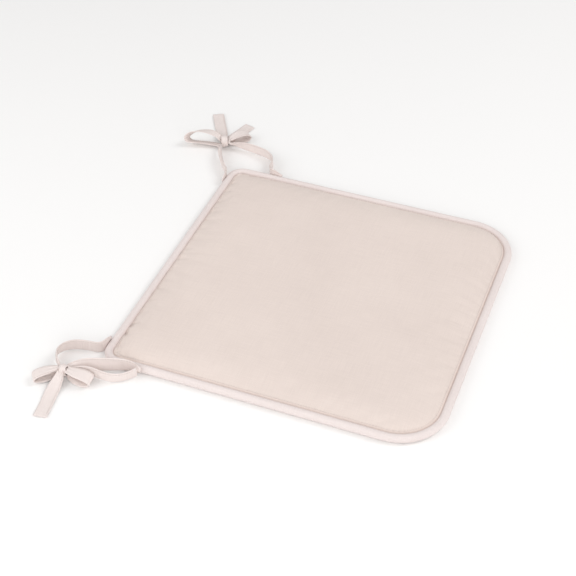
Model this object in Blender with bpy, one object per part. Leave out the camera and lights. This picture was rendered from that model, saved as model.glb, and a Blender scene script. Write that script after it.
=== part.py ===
"""Tie-on seat cushion: a thin foam sheet in a piped cotton cover, with a concealed zip along the back
edge of the underside and two pairs of fabric ties, tied in bows behind the back corners.

Metres, +Z up. The origin is the centre of the underside, the front edge faces -Y, and the ties and the
zip are at +Y. Left is -X, as seen from in front.
"""

import math

import bmesh
import bpy
import numpy as np
from mathutils import Vector

# ---- Driving dimensions ----
PAD_WIDTH = 0.400
PAD_DEPTH = 0.400
PAD_THICKNESS = 0.012
FRONT_CORNER_RADIUS = 0.059
BACK_CORNER_RADIUS = 0.022
FABRIC = 0.0009
GAP = 0.0003

PIPING_RADIUS = 0.005
PIPING_FLANGE = 0.009  # from the filler cord's middle to the seam allowance's raw edge
FLANGE_SLIT = 0.0006
PANEL_TUCK = 0.0003  # how far the panels' edges stay off the piping, in plan
SEAM_CLEARANCE = 0.0004  # between the piping's flange and the top panel

STITCH_FROM_SEAM = 0.0022
THREAD = 0.0006
NEEDLE_CLEARANCE = 0.0005  # between the needle's thread and the sloping top panel

FOAM_SIDE_CLEARANCE = 0.0005
FOAM_EDGE_RISE = 0.0016  # how far the foam's lower edge is pressed up by the seam

ZIP_LENGTH = 0.310  # between the end stops
ZIP_INSET = 0.020  # from the back edge to the middle of the coils
ZIP_TAPE_THICKNESS = 0.0005
ZIP_TAPE_FRONT_WIDTH = 0.0123
ZIP_TAPE_END = 0.008  # tape past each stop
ZIP_TAPE_MITRE = 0.0004  # at the two bends of the rear tape
HEM_WIDTH = 0.0125
HEM_FLAT = 0.003  # the part of the hem that lies level beside the coils
HEM_FADE = 0.016  # length over which the hem's rise ends, at each end of the zip
COIL_WIDTH = 0.0016
COIL_HEIGHT = 0.0014
SLIDER_LENGTH = 0.009
SLIDER_WIDTH = 0.006
SLIDER_PLATE = 0.0005
SLIDER_POST = 0.0008
SLIDER_POST_LENGTH = 0.0025
SLIDER_POST_SETBACK = 0.0005
BAIL_WIDTH = 0.0012
BAIL_SPAN = 0.0050
BAIL_BAR = 0.0006
PULL_LENGTH = 0.020
PULL_WIDTH = 0.0045
PULL_THICKNESS = 0.0005
PULL_BAR = 0.0008  # the tab's end bar, which lies in the bail
STOP_LENGTH = 0.002

TIE_THICKNESS = 0.0012
TIE_STEP = 0.005  # between the stations of a tie's solid
CURVE_SAMPLES = 20  # between two points of a tie's route
BARTACK_LENGTH = 0.008
BARTACK_HEIGHT = 0.002

# ---- Sizes that follow ----
RIM_MIDDLE = PIPING_RADIUS  # height of the filler cord's middle: the piping rests on the surface
PANEL_INSET = 2 * PIPING_RADIUS + PANEL_TUCK
STITCH_INSET = PANEL_INSET + STITCH_FROM_SEAM
FLANGE_INSET = PIPING_RADIUS + PIPING_FLANGE
FLANGE_LOW = RIM_MIDDLE - FLANGE_SLIT / 2 - FABRIC
FLANGE_HIGH = RIM_MIDDLE + FLANGE_SLIT / 2 + FABRIC
SEAM_HIGH = FLANGE_HIGH + SEAM_CLEARANCE + FABRIC  # the top panel's outer face at its edge
SEAM_LOW = FLANGE_LOW - GAP - FABRIC  # the bottom panel's outer face at its edge
FOAM_INSET = FLANGE_INSET + FOAM_SIDE_CLEARANCE
ZIP_LINE = PAD_DEPTH / 2 - ZIP_INSET
ZIP_HALF = ZIP_LENGTH / 2
ZIP_END = ZIP_HALF + STOP_LENGTH + ZIP_TAPE_END
COIL_OFFSET = SLIDER_POST / 2 + GAP
PULL_LOW = 2 * GAP + BAIL_BAR + GAP
SLIDER_LOW = PULL_LOW + PULL_THICKNESS + GAP
COIL_LOW = SLIDER_LOW + SLIDER_PLATE + GAP
TAPE_LOW = COIL_LOW + COIL_HEIGHT + GAP
SLIDER_HIGH = TAPE_LOW + ZIP_TAPE_THICKNESS + GAP
HEM_LOW = TAPE_LOW - GAP - FABRIC
HEM_EDGE = ZIP_LINE - SLIDER_WIDTH / 2 - 2 * GAP
HEM_START = HEM_EDGE - HEM_WIDTH
SLIDER_REST = -ZIP_HALF + GAP + SLIDER_LENGTH / 2

# A tie's route: x, y, z, then the direction of the tape's width as a heading and a rise in degrees, and
# the tape's width there. The tape stands on its edge round the place of the chair's post, is gathered in
# the knot, goes out and back in a loop, and ends in a tail.
LEFT_INNER_ROUTE = [
    (-0.1640, 0.2009, 0.0083, 90, 90, 0.016),
    (-0.1750, 0.2009, 0.0083, 90, 90, 0.016),
    (-0.1812, 0.2026, 0.0083, 90, 90, 0.016),
    (-0.1850, 0.2075, 0.0083, 0, 90, 0.016),
    (-0.1866, 0.2200, 0.0083, 0, 90, 0.016),
    (-0.1900, 0.2330, 0.0083, 270, 86, 0.016),
    (-0.1970, 0.2430, 0.0084, 250, 82, 0.016),
    (-0.2070, 0.2475, 0.0086, 240, 76, 0.015),
    (-0.2170, 0.2440, 0.0090, 235, 66, 0.013),
    (-0.2250, 0.2365, 0.0085, 225, 45, 0.010),
    (-0.2310, 0.2325, 0.0050, 220, 15, 0.008),
    (-0.2370, 0.2360, 0.0028, 218, 0, 0.010),
    (-0.2435, 0.2430, 0.0018, 218, 0, 0.014),
    (-0.2500, 0.2510, 0.0024, 218, 0, 0.015),
    (-0.2535, 0.2552, 0.0062, 218, 0, 0.015),
    (-0.2500, 0.2512, 0.0106, 218, 0, 0.015),
    (-0.2430, 0.2430, 0.0122, 218, 0, 0.014),
    (-0.2365, 0.2360, 0.0118, 222, 0, 0.010),
    (-0.2330, 0.2305, 0.0112, 240, 0, 0.008),
    (-0.2385, 0.2270, 0.0100, 265, -8, 0.009),
    (-0.2460, 0.2262, 0.0072, 268, -12, 0.012),
    (-0.2550, 0.2262, 0.0038, 268, -10, 0.015),
    (-0.2660, 0.2255, 0.0018, 268, -4, 0.016),
    (-0.2790, 0.2235, 0.0011, 266, 0, 0.016),
    (-0.2990, 0.2205, 0.0011, 264, 0, 0.016),
]
LEFT_OUTER_ROUTE = [
    (-0.2009, 0.1450, 0.0108, 0, 90, 0.016),
    (-0.2009, 0.1560, 0.0110, 0, 90, 0.016),
    (-0.2024, 0.1635, 0.0118, 0, 84, 0.016),
    (-0.2058, 0.1730, 0.0122, 10, 76, 0.016),
    (-0.2100, 0.1850, 0.0118, 15, 72, 0.016),
    (-0.2140, 0.1970, 0.0110, 15, 70, 0.016),
    (-0.2180, 0.2080, 0.0102, 20, 66, 0.015),
    (-0.2225, 0.2165, 0.0094, 25, 55, 0.012),
    (-0.2280, 0.2225, 0.0100, 15, 25, 0.008),
    (-0.2330, 0.2210, 0.0120, 0, 4, 0.009),
    (-0.2348, 0.2140, 0.0134, 0, 0, 0.013),
    (-0.2352, 0.2050, 0.0136, 0, 2, 0.016),
    (-0.2350, 0.1950, 0.0116, 0, 6, 0.016),
    (-0.2345, 0.1898, 0.0068, 0, 8, 0.016),
    (-0.2352, 0.1950, 0.0026, 0, 4, 0.016),
    (-0.2356, 0.2050, 0.0018, 0, 0, 0.015),
    (-0.2350, 0.2140, 0.0024, 0, 2, 0.011),
    (-0.2310, 0.2205, 0.0040, 0, 20, 0.008),
    (-0.2262, 0.2150, 0.0062, 0, 60, 0.009),
    (-0.2238, 0.2040, 0.0078, 0, 84, 0.013),
    (-0.2235, 0.1930, 0.0083, 0, 90, 0.015),
    (-0.2242, 0.1820, 0.0083, 180, 88, 0.015),
    (-0.2240, 0.1710, 0.0083, 180, 84, 0.015),
    (-0.2200, 0.1610, 0.0083, 210, 80, 0.015),
    (-0.2130, 0.1535, 0.0083, 235, 82, 0.015),
    (-0.2052, 0.1480, 0.0083, 235, 86, 0.015),
]
RIGHT_INNER_ROUTE = [
    (0.1640, 0.2009, 0.0083, 90, 90, 0.016),
    (0.1750, 0.2009, 0.0083, 90, 90, 0.016),
    (0.1810, 0.2026, 0.0083, 90, 90, 0.016),
    (0.1868, 0.2068, 0.0083, 90, 90, 0.016),
    (0.1960, 0.2140, 0.0083, 90, 88, 0.016),
    (0.2080, 0.2215, 0.0083, 300, 86, 0.016),
    (0.2200, 0.2282, 0.0086, 300, 78, 0.015),
    (0.2310, 0.2335, 0.0088, 310, 60, 0.012),
    (0.2395, 0.2365, 0.0062, 325, 25, 0.008),
    (0.2432, 0.2430, 0.0036, 340, -10, 0.010),
    (0.2420, 0.2540, 0.0042, 345, -18, 0.014),
    (0.2390, 0.2670, 0.0046, 345, -22, 0.015),
    (0.2360, 0.2790, 0.0056, 345, -24, 0.015),
    (0.2348, 0.2850, 0.0110, 345, -24, 0.015),
    (0.2376, 0.2800, 0.0180, 345, -24, 0.015),
    (0.2425, 0.2680, 0.0208, 345, -20, 0.015),
    (0.2465, 0.2550, 0.0200, 345, -14, 0.014),
    (0.2480, 0.2440, 0.0164, 340, -6, 0.010),
    (0.2462, 0.2368, 0.0122, 330, 0, 0.008),
    (0.2535, 0.2375, 0.0104, 300, -4, 0.010),
    (0.2620, 0.2418, 0.0068, 298, -8, 0.013),
    (0.2720, 0.2475, 0.0030, 298, -6, 0.015),
    (0.2840, 0.2545, 0.0012, 298, 0, 0.016),
    (0.2990, 0.2630, 0.0011, 298, 0, 0.016),
    (0.3170, 0.2730, 0.0011, 298, 0, 0.016),
]
RIGHT_OUTER_ROUTE = [
    (0.2009, 0.1290, 0.0083, 180, 90, 0.016),
    (0.2009, 0.1400, 0.0083, 180, 90, 0.016),
    (0.2026, 0.1462, 0.0083, 180, 90, 0.016),
    (0.2090, 0.1498, 0.0083, 180, 88, 0.016),
    (0.2210, 0.1510, 0.0083, 90, 86, 0.016),
    (0.2330, 0.1570, 0.0083, 150, 84, 0.016),
    (0.2410, 0.1690, 0.0083, 165, 82, 0.016),
    (0.2450, 0.1850, 0.0083, 180, 82, 0.016),
    (0.2468, 0.2010, 0.0084, 180, 78, 0.015),
    (0.2465, 0.2140, 0.0088, 180, 66, 0.012),
    (0.2442, 0.2225, 0.0090, 190, 35, 0.008),
    (0.2475, 0.2268, 0.0112, 215, 5, 0.008),
    (0.2552, 0.2238, 0.0130, 232, 0, 0.012),
    (0.2640, 0.2180, 0.0140, 230, 0, 0.015),
    (0.2730, 0.2115, 0.0122, 228, 0, 0.016),
    (0.2770, 0.2078, 0.0070, 228, 0, 0.016),
    (0.2726, 0.2116, 0.0024, 228, 0, 0.016),
    (0.2640, 0.2190, 0.0018, 230, 0, 0.014),
    (0.2555, 0.2240, 0.0026, 240, 0, 0.010),
    (0.2505, 0.2272, 0.0058, 260, 0, 0.008),
    (0.2580, 0.2305, 0.0056, 275, 0, 0.010),
    (0.2690, 0.2302, 0.0022, 262, 0, 0.014),
    (0.2800, 0.2272, 0.0012, 252, 0, 0.016),
    (0.2930, 0.2230, 0.0011, 250, 0, 0.016),
    (0.3060, 0.2190, 0.0011, 254, 0, 0.016),
]


# ---- Materials ----
def principled(name, color, roughness, metallic=0.0):
    material = bpy.data.materials.new(name)
    material.use_nodes = True
    shader = material.node_tree.nodes["Principled BSDF"]
    shader.inputs["Base Color"].default_value = (*color, 1.0)
    shader.inputs["Roughness"].default_value = roughness
    shader.inputs["Metallic"].default_value = metallic
    return material


# ---- Meshes ----
def add_object(name, mesh, material):
    item = bpy.data.objects.new(name, mesh)
    item.data.materials.append(material)
    bpy.context.scene.collection.objects.link(item)
    return item


def mesh_of(name, points, faces):
    mesh = bpy.data.meshes.new(name)
    mesh.from_pydata([tuple(point) for point in points], [], faces)
    mesh.update()
    return mesh


def box_mesh(name, low, high):
    """A box between two corners."""
    shape = bmesh.new()
    bmesh.ops.create_cube(shape, size=1.0)
    low, high = Vector(low), Vector(high)
    for vertex in shape.verts:
        share = vertex.co + Vector((0.5, 0.5, 0.5))
        vertex.co = low + Vector(share[i] * (high - low)[i] for i in range(3))
    mesh = bpy.data.meshes.new(name)
    shape.to_mesh(mesh)
    shape.free()
    return mesh


def helper(name, mesh):
    """A solid that only cuts or joins, and isn't a part."""
    item = bpy.data.objects.new(name, mesh)
    bpy.context.scene.collection.objects.link(item)
    item.hide_render = True
    item.display_type = "WIRE"
    return item


def combine(item, other, operation):
    step = item.modifiers.new(other.name, "BOOLEAN")
    step.operation = operation
    step.solver = "EXACT"
    step.object = other


def extrude_along_x(name, profile, x_low, x_high, material):
    """A solid from a profile of (y, z) points, counter-clockwise when seen from +X."""
    count = len(profile)
    points = [(x, y, z) for x in (x_low, x_high) for y, z in profile]
    sides = [(i, (i + 1) % count, count + (i + 1) % count, count + i) for i in range(count)]
    ends = [tuple(reversed(range(count))), tuple(range(count, 2 * count))]
    return add_object(name, mesh_of(name, points, sides + ends), material)


# ---- The cushion's outline ----
CORNER_STEPS = 7
CORNER_RADIUS_MIN = 0.003
MIDDLE_RING = 0.110  # inset of the innermost ring of points
HEM_SHARES = (-0.08, 0.24, 0.48, 0.72, 1.0)  # where rings of points cross the hem, from its edge inwards
SIDE_SHARES = (0.04, 0.08, 0.28, 0.5, 0.72, 0.92, 0.96)


def outline(inset):
    """The plan of the cushion, moved inwards by inset: counter-clockwise from the front right corner."""
    half_width = PAD_WIDTH / 2 - inset
    half_depth = PAD_DEPTH / 2 - inset
    corners = (
        (1, -1, FRONT_CORNER_RADIUS, -90),
        (1, 1, BACK_CORNER_RADIUS, 0),
        (-1, 1, BACK_CORNER_RADIUS, 90),
        (-1, -1, FRONT_CORNER_RADIUS, 180),
    )
    points = []
    for side_x, side_y, full_radius, start in corners:
        radius = max(full_radius - inset, CORNER_RADIUS_MIN)
        middle = (side_x * (half_width - radius), side_y * (half_depth - radius))
        arc = []
        for step in range(CORNER_STEPS + 1):
            angle = math.radians(start + 90 * step / CORNER_STEPS)
            arc.append((middle[0] + radius * math.cos(angle), middle[1] + radius * math.sin(angle)))
        if points:
            points += straight(points[-1], arc[0])
        points += arc
    return points + straight(points[-1], points[0])


def straight(start, end):
    """The points strictly between two ends of a straight edge."""
    run_x, run_y = end[0] - start[0], end[1] - start[1]
    return [(start[0] + run_x * share, start[1] + run_y * share) for share in SIDE_SHARES]


def smooth_step(value):
    value = min(max(value, 0.0), 1.0)
    return value * value * (3 - 2 * value)


def height_between(inset, stations):
    """Height at a distance in from the edge, straight between (inset, height) stations."""
    return float(np.interp(inset, [s[0] for s in stations], [s[1] for s in stations]))


# Each panel's outer face: distance in from its seam, and share of the height that it gains or keeps.
TOP_PROFILE = [
    (0.0, 0.0),
    (STITCH_FROM_SEAM, 0.24),
    (0.0057, 0.57),
    (0.0107, 0.81),
    (0.0197, 0.95),
    (0.0397, 1.0),
]
BOTTOM_PROFILE = [(0.0, 1.0), (STITCH_FROM_SEAM, 0.5), (0.0057, 0.12), (0.0087, 0.0)]
TOP_STATIONS = [
    (PANEL_INSET + inwards, SEAM_HIGH + share * (PAD_THICKNESS - SEAM_HIGH)) for inwards, share in TOP_PROFILE
]
BOTTOM_STATIONS = [(PANEL_INSET + inwards, share * SEAM_LOW) for inwards, share in BOTTOM_PROFILE]


def top_surface(x, y, inset):
    return height_between(inset, TOP_STATIONS)


def hem_rise(x, y):
    """How far the underside rises to the zip along the back edge."""
    along = smooth_step((ZIP_END - abs(x)) / HEM_FADE)
    return HEM_LOW * along * smooth_step((y - HEM_START) / (HEM_WIDTH - HEM_FLAT))


def bottom_surface(x, y, inset):
    return max(height_between(inset, BOTTOM_STATIONS), hem_rise(x, y))


def layer_solid(name, insets, low, high, material):
    """A sheet or slab over the cushion's plan, between two surfaces that give a height at (x, y, inset)."""
    rings = [outline(inset) for inset in insets]
    count = len(rings[0])
    points, faces = [], []
    for surface in (high, low):
        for inset, ring in zip(insets, rings):
            points += [(x, y, surface(x, y, inset)) for x, y in ring]
        points.append((0.0, 0.0, surface(0.0, 0.0, insets[-1])))
    layer = len(rings) * count + 1
    for ring in range(len(rings) - 1):
        for i in range(count):
            a, b = ring * count + i, ring * count + (i + 1) % count
            c, d = b + count, a + count
            faces.append((a, b, c, d))
            faces.append((layer + d, layer + c, layer + b, layer + a))
    last = (len(rings) - 1) * count
    for i in range(count):
        a, b = last + i, last + (i + 1) % count
        faces.append((a, b, layer - 1))
        faces.append((layer + b, layer + a, 2 * layer - 1))
        j = (i + 1) % count
        faces.append((i, layer + i, layer + j, j))
    return add_object(name, mesh_of(name, points, faces), material)


def ring_solid(name, inset, section, material):
    """A closed loop round the cushion at an inset, from a section of (inwards, height) points."""
    count = len(section)
    rings = [outline(inset + inwards) for inwards, height in section]
    stations = len(rings[0])
    points, faces = [], []
    for station in range(stations):
        for corner, (inwards, height) in enumerate(section):
            x, y = rings[corner][station]
            points.append((x, y, height))
    for station in range(stations):
        following = (station + 1) % stations
        for corner in range(count):
            after = (corner + 1) % count
            faces.append(
                (
                    station * count + corner,
                    station * count + after,
                    following * count + after,
                    following * count + corner,
                )
            )
    return add_object(name, mesh_of(name, points, faces), material)


# ---- Cover and filling ----
def make_panels(cotton):
    insets = [station[0] for station in TOP_STATIONS] + [MIDDLE_RING]
    layer_solid(
        "top_cover_panel",
        insets,
        lambda x, y, inset: top_surface(x, y, inset) - FABRIC,
        top_surface,
        cotton,
    )
    insets = [station[0] for station in BOTTOM_STATIONS]
    insets += [PAD_DEPTH / 2 - HEM_EDGE + share * HEM_WIDTH for share in HEM_SHARES]
    insets.append(MIDDLE_RING)
    bottom = layer_solid(
        "bottom_cover_panel",
        insets,
        bottom_surface,
        lambda x, y, inset: bottom_surface(x, y, inset) + FABRIC,
        cotton,
    )
    reach = ZIP_END + 2 * GAP
    mouth = box_mesh("zip_mouth", (-reach, HEM_EDGE, -PAD_THICKNESS), (reach, PAD_DEPTH / 2, PAD_THICKNESS))
    combine(bottom, helper("zip_mouth_cutter", mouth), "DIFFERENCE")


def make_foam(foam):
    level = PANEL_INSET + BOTTOM_PROFILE[-1][0]
    flat_from = level + 0.005
    insets = [FOAM_INSET, level, flat_from, TOP_STATIONS[-2][0], TOP_STATIONS[-1][0], MIDDLE_RING]

    def top(x, y, inset):
        return top_surface(x, y, inset) - FABRIC - GAP

    def bottom(x, y, inset):
        flat = FABRIC + GAP
        return height_between(
            inset, [(FOAM_INSET, flat + FOAM_EDGE_RISE), (level, flat + GAP), (flat_from, flat)]
        )

    core = layer_solid("foam_core", insets, bottom, top, foam)
    high = SLIDER_HIGH + SLIDER_PLATE + GAP
    front = HEM_START - 2 * GAP
    reach = ZIP_END + HEM_FADE
    groove = box_mesh("zip_groove", (-reach, front, -PAD_THICKNESS), (reach, PAD_DEPTH / 2, high))
    combine(core, helper("zip_groove_cutter", groove), "DIFFERENCE")


def make_piping(cotton, cord):
    """A strip folded round a filler cord, with its two edges laid together as the seam's flange."""
    steps = 8
    inner = PIPING_RADIUS - FABRIC
    slit = FLANGE_SLIT / 2
    outer_start = math.asin((slit + FABRIC) / PIPING_RADIUS)
    inner_start = math.asin(slit / inner)
    section = []

    def arc(radius, start, flip):
        angles = [start + (2 * math.pi - 2 * start) * step / steps for step in range(steps + 1)]
        for angle in reversed(angles) if flip else angles:
            inwards = radius * math.cos(angle)
            section.append((inwards, RIM_MIDDLE + radius * math.sin(angle)))

    section.append((PIPING_FLANGE, FLANGE_HIGH))
    arc(PIPING_RADIUS, outer_start, False)
    section.append((PIPING_FLANGE, FLANGE_LOW))
    section.append((PIPING_FLANGE, RIM_MIDDLE - slit))
    arc(inner, inner_start, True)
    section.append((PIPING_FLANGE, RIM_MIDDLE + slit))
    ring_solid("piping_sleeve", PIPING_RADIUS, section, cotton)
    filler = inner - GAP
    angles = [2 * math.pi * step / steps for step in range(steps)]
    section = [(filler * math.cos(a), RIM_MIDDLE + filler * math.sin(a)) for a in angles]
    ring_solid("piping_filler_cord", PIPING_RADIUS, section, cord)


def make_threads(thread):
    """The lockstitch round the cover: the needle's thread on top and the bobbin's below."""
    half = THREAD / 2
    for name, low in (
        ("needle_thread", height_between(STITCH_INSET, TOP_STATIONS) + NEEDLE_CLEARANCE),
        ("bobbin_thread", height_between(STITCH_INSET, BOTTOM_STATIONS) - GAP - THREAD),
    ):
        section = [(half, low), (half, low + THREAD), (-half, low + THREAD), (-half, low)]
        ring_solid(name, STITCH_INSET, section, thread)


# ---- Zip ----
def make_zip(tape, nylon, metal):
    end = ZIP_END
    high = TAPE_LOW + ZIP_TAPE_THICKNESS
    front_edge = ZIP_LINE - COIL_OFFSET
    rear_edge = ZIP_LINE + COIL_OFFSET
    profile = [
        (front_edge - ZIP_TAPE_FRONT_WIDTH, TAPE_LOW),
        (front_edge, TAPE_LOW),
        (front_edge, high),
        (front_edge - ZIP_TAPE_FRONT_WIDTH, high),
    ]
    extrude_along_x("zip_tape_front", profile, -end, end, tape)
    # The rear tape dips under the piping's flange, where it is sewn.
    drop = rear_edge + COIL_WIDTH + GAP
    seam = PAD_DEPTH / 2 - FLANGE_INSET
    under = FLANGE_LOW - GAP
    raw_edge = PAD_DEPTH / 2 - PANEL_INSET
    profile = [
        (rear_edge, TAPE_LOW),
        (drop, TAPE_LOW),
        (seam - 2 * ZIP_TAPE_MITRE, under - ZIP_TAPE_THICKNESS),
        (raw_edge, under - ZIP_TAPE_THICKNESS),
        (raw_edge, under),
        (seam - ZIP_TAPE_MITRE, under),
        (drop + ZIP_TAPE_MITRE, high),
        (rear_edge, high),
    ]
    extrude_along_x("zip_tape_rear", profile, -end, end, tape)
    for name, near, far in (
        ("zip_coil_front", front_edge - COIL_WIDTH, front_edge),
        ("zip_coil_rear", rear_edge, rear_edge + COIL_WIDTH),
    ):
        low, top = COIL_LOW, COIL_LOW + COIL_HEIGHT
        bevel = COIL_HEIGHT / 4
        profile = [
            (near + bevel, low),
            (far - bevel, low),
            (far, low + bevel),
            (far, top - bevel),
            (far - bevel, top),
            (near + bevel, top),
            (near, top - bevel),
            (near, low + bevel),
        ]
        extrude_along_x(name, profile, -ZIP_HALF, ZIP_HALF, nylon)
    stop = ZIP_HALF + GAP
    for name, near, far, x_low in (
        ("zip_top_stop_front", front_edge - COIL_WIDTH, front_edge, -stop - STOP_LENGTH),
        ("zip_top_stop_rear", rear_edge, rear_edge + COIL_WIDTH, -stop - STOP_LENGTH),
        ("zip_bottom_stop", front_edge - COIL_WIDTH, rear_edge + COIL_WIDTH, stop),
    ):
        low = (x_low, near, COIL_LOW - GAP)
        top = (x_low + STOP_LENGTH, far, COIL_LOW + COIL_HEIGHT)
        add_object(name, box_mesh(name, low, top), metal)


def make_slider(metal):
    """Two plates round the coils, a post between them at the nose, and a bail underneath for the pull.

    The nose faces the top stops, at -X, because the post parts the two rows of coils ahead of the slider.
    """
    carrier = bpy.data.objects.new("slider_place", None)
    carrier.location = (SLIDER_REST, ZIP_LINE, 0.0)
    bpy.context.scene.collection.objects.link(carrier)
    length, width = SLIDER_LENGTH / 2, SLIDER_WIDTH / 2
    plates_low = SLIDER_LOW + SLIDER_PLATE
    bar_low = PULL_LOW - GAP - BAIL_BAR
    bail, leg, sink = BAIL_WIDTH / 2, BAIL_BAR, SLIDER_PLATE / 2
    slider = add_object(
        "zip_slider",
        box_mesh("zip_slider", (-length, -width, SLIDER_LOW), (length, width, plates_low)),
        metal,
    )
    slider.parent = carrier
    span = BAIL_SPAN / 2
    post = SLIDER_POST / 2
    post_start = -length + SLIDER_POST_SETBACK
    post_end = post_start + SLIDER_POST_LENGTH
    pieces = (
        ("upper_plate", (-length, -width, SLIDER_HIGH), (length, width, SLIDER_HIGH + SLIDER_PLATE)),
        ("post", (post_start, -post, SLIDER_LOW + sink), (post_end, post, SLIDER_HIGH + sink)),
        ("bail_bar", (-span, -bail, bar_low), (span, bail, bar_low + BAIL_BAR)),
        ("bail_leg_left", (-span, -bail, bar_low), (-span + leg, bail, SLIDER_LOW + sink)),
        ("bail_leg_right", (span - leg, -bail, bar_low), (span, bail, SLIDER_LOW + sink)),
    )
    for name, low, high in pieces:
        block = helper("slider_" + name, box_mesh("slider_" + name, low, high))
        block.parent = carrier
        combine(slider, block, "UNION")
    make_pull(carrier, metal)


def make_pull(carrier, metal):
    """A stamped tab: its end bar lies in the bail, and one bail leg passes through its eye."""
    bar = PULL_BAR / 2
    eye = BAIL_SPAN / 2 + 2 * GAP
    low = PULL_LOW
    high = PULL_LOW + PULL_THICKNESS
    mesh = box_mesh("zip_pull_tab", (-bar, -PULL_WIDTH / 2, low), (PULL_LENGTH, PULL_WIDTH / 2, high))
    pull = add_object("zip_pull_tab", mesh, metal)
    pull.parent = carrier
    side = BAIL_WIDTH / 2 + 2 * GAP
    hole = box_mesh("pull_eye", (bar, -side, 0.0), (eye, side, SLIDER_LOW))
    cutter = helper("pull_eye_cutter", hole)
    cutter.parent = carrier
    combine(pull, cutter, "DIFFERENCE")


# ---- Ties ----
def tape_stations(route):
    """Places and width vectors along a smooth curve through a route's points, evenly spaced."""
    places = np.array([point[:3] for point in route])
    heading = np.radians([point[3] for point in route])
    rise = np.radians([point[4] for point in route])
    level = np.cos(rise)
    widths = np.stack([level * np.cos(heading), level * np.sin(heading), np.sin(rise)], axis=1)
    widths *= np.array([point[5] for point in route])[:, None] / 2
    values = np.hstack([places, widths])
    values = np.vstack([2 * values[0] - values[1], values, 2 * values[-1] - values[-2]])
    samples = []
    for i in range(1, len(values) - 2):
        before, start, end, after = values[i - 1 : i + 3]
        for share in np.linspace(0.0, 1.0, CURVE_SAMPLES, endpoint=False):
            samples.append(catmull_rom(before, start, end, after, share))
    samples.append(values[-2])
    samples = np.array(samples)
    run = np.concatenate([[0.0], np.cumsum(np.linalg.norm(np.diff(samples[:, :3], axis=0), axis=1))])
    even = np.linspace(0.0, run[-1], round(run[-1] / TIE_STEP) + 1)
    return np.stack([np.interp(even, run, samples[:, k]) for k in range(6)], axis=1)


def catmull_rom(before, start, end, after, share):
    square, cube = share * share, share * share * share
    return 0.5 * (
        2 * start
        + (end - before) * share
        + (2 * before - 5 * start + 4 * end - after) * square
        + (3 * start - before - 3 * end + after) * cube
    )


def make_tie(name, route, cotton):
    """A flat tape: a rectangle, its width along the route's width vectors, carried along the route."""
    stations = tape_stations(route)
    points, faces = [], []
    for i, station in enumerate(stations):
        place = station[:3]
        ahead = stations[min(i + 1, len(stations) - 1)][:3] - stations[max(i - 1, 0)][:3]
        ahead /= np.linalg.norm(ahead)
        half = station[3:] - np.dot(station[3:], ahead) * ahead
        half *= np.linalg.norm(station[3:]) / np.linalg.norm(half)
        through = np.cross(ahead, half)
        through *= TIE_THICKNESS / 2 / np.linalg.norm(through)
        points += [place - half - through, place + half - through]
        points += [place + half + through, place - half + through]
    for i in range(len(stations) - 1):
        for corner in range(4):
            a, b = 4 * i + corner, 4 * i + (corner + 1) % 4
            faces.append((a, b, b + 4, a + 4))
    last = 4 * (len(stations) - 1)
    faces += [(3, 2, 1, 0), (last, last + 1, last + 2, last + 3)]
    item = add_object(name, mesh_of(name, points, faces), cotton)
    shape = bmesh.new()
    shape.from_mesh(item.data)
    bmesh.ops.triangulate(shape, faces=shape.faces[:])
    bmesh.ops.recalc_face_normals(shape, faces=shape.faces[:])
    shape.to_mesh(item.data)
    shape.free()


def make_bartack(name, route, thread):
    """The dense row of stitches, across a tie's sewn end, that holds it to the piping."""
    middle = (np.array(route[0][:2]) + np.array(route[1][:2])) / 2
    near = TIE_THICKNESS / 2 + GAP
    reach, rise = BARTACK_LENGTH / 2, BARTACK_HEIGHT / 2
    along_x = abs(route[0][0] - route[1][0]) > abs(route[0][1] - route[1][1])
    side = math.copysign(1.0, middle[1 if along_x else 0])
    depth = sorted((side * near, side * (near + THREAD)))
    length = (-reach, reach)
    spans = (length, depth) if along_x else (depth, length)
    low = (middle[0] + spans[0][0], middle[1] + spans[1][0], RIM_MIDDLE - rise)
    high = (middle[0] + spans[0][1], middle[1] + spans[1][1], RIM_MIDDLE + rise)
    add_object(name, box_mesh(name, low, high), thread)


# ---- The cushion ----
for old in list(bpy.data.objects):
    bpy.data.objects.remove(old, do_unlink=True)

cover_cotton = principled("cover_cotton", (0.77, 0.67, 0.61), 0.9)
tie_cotton = principled("tie_cotton", (0.79, 0.70, 0.66), 0.9)
sewing_thread = principled("sewing_thread", (0.72, 0.64, 0.60), 0.7)
foam_sheet = principled("foam_sheet", (0.86, 0.80, 0.58), 0.95)
filler_cotton = principled("filler_cotton", (0.85, 0.83, 0.78), 0.95)
zip_tape = principled("zip_tape", (0.80, 0.74, 0.68), 0.85)
zip_nylon = principled("zip_nylon", (0.82, 0.78, 0.72), 0.45)
zip_metal = principled("zip_metal", (0.72, 0.70, 0.67), 0.3, 1.0)

make_panels(cover_cotton)
make_foam(foam_sheet)
make_piping(cover_cotton, filler_cotton)
make_threads(sewing_thread)
make_zip(zip_tape, zip_nylon, zip_metal)
make_slider(zip_metal)
for tie_name, tie_route in (
    ("left_inner", LEFT_INNER_ROUTE),
    ("left_outer", LEFT_OUTER_ROUTE),
    ("right_inner", RIGHT_INNER_ROUTE),
    ("right_outer", RIGHT_OUTER_ROUTE),
):
    make_tie("tie_" + tie_name, tie_route, tie_cotton)
    make_bartack("bartack_" + tie_name, tie_route, sewing_thread)
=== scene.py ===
import math

import bmesh
import bpy
import numpy as np
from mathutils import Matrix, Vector, kdtree, noise


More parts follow.
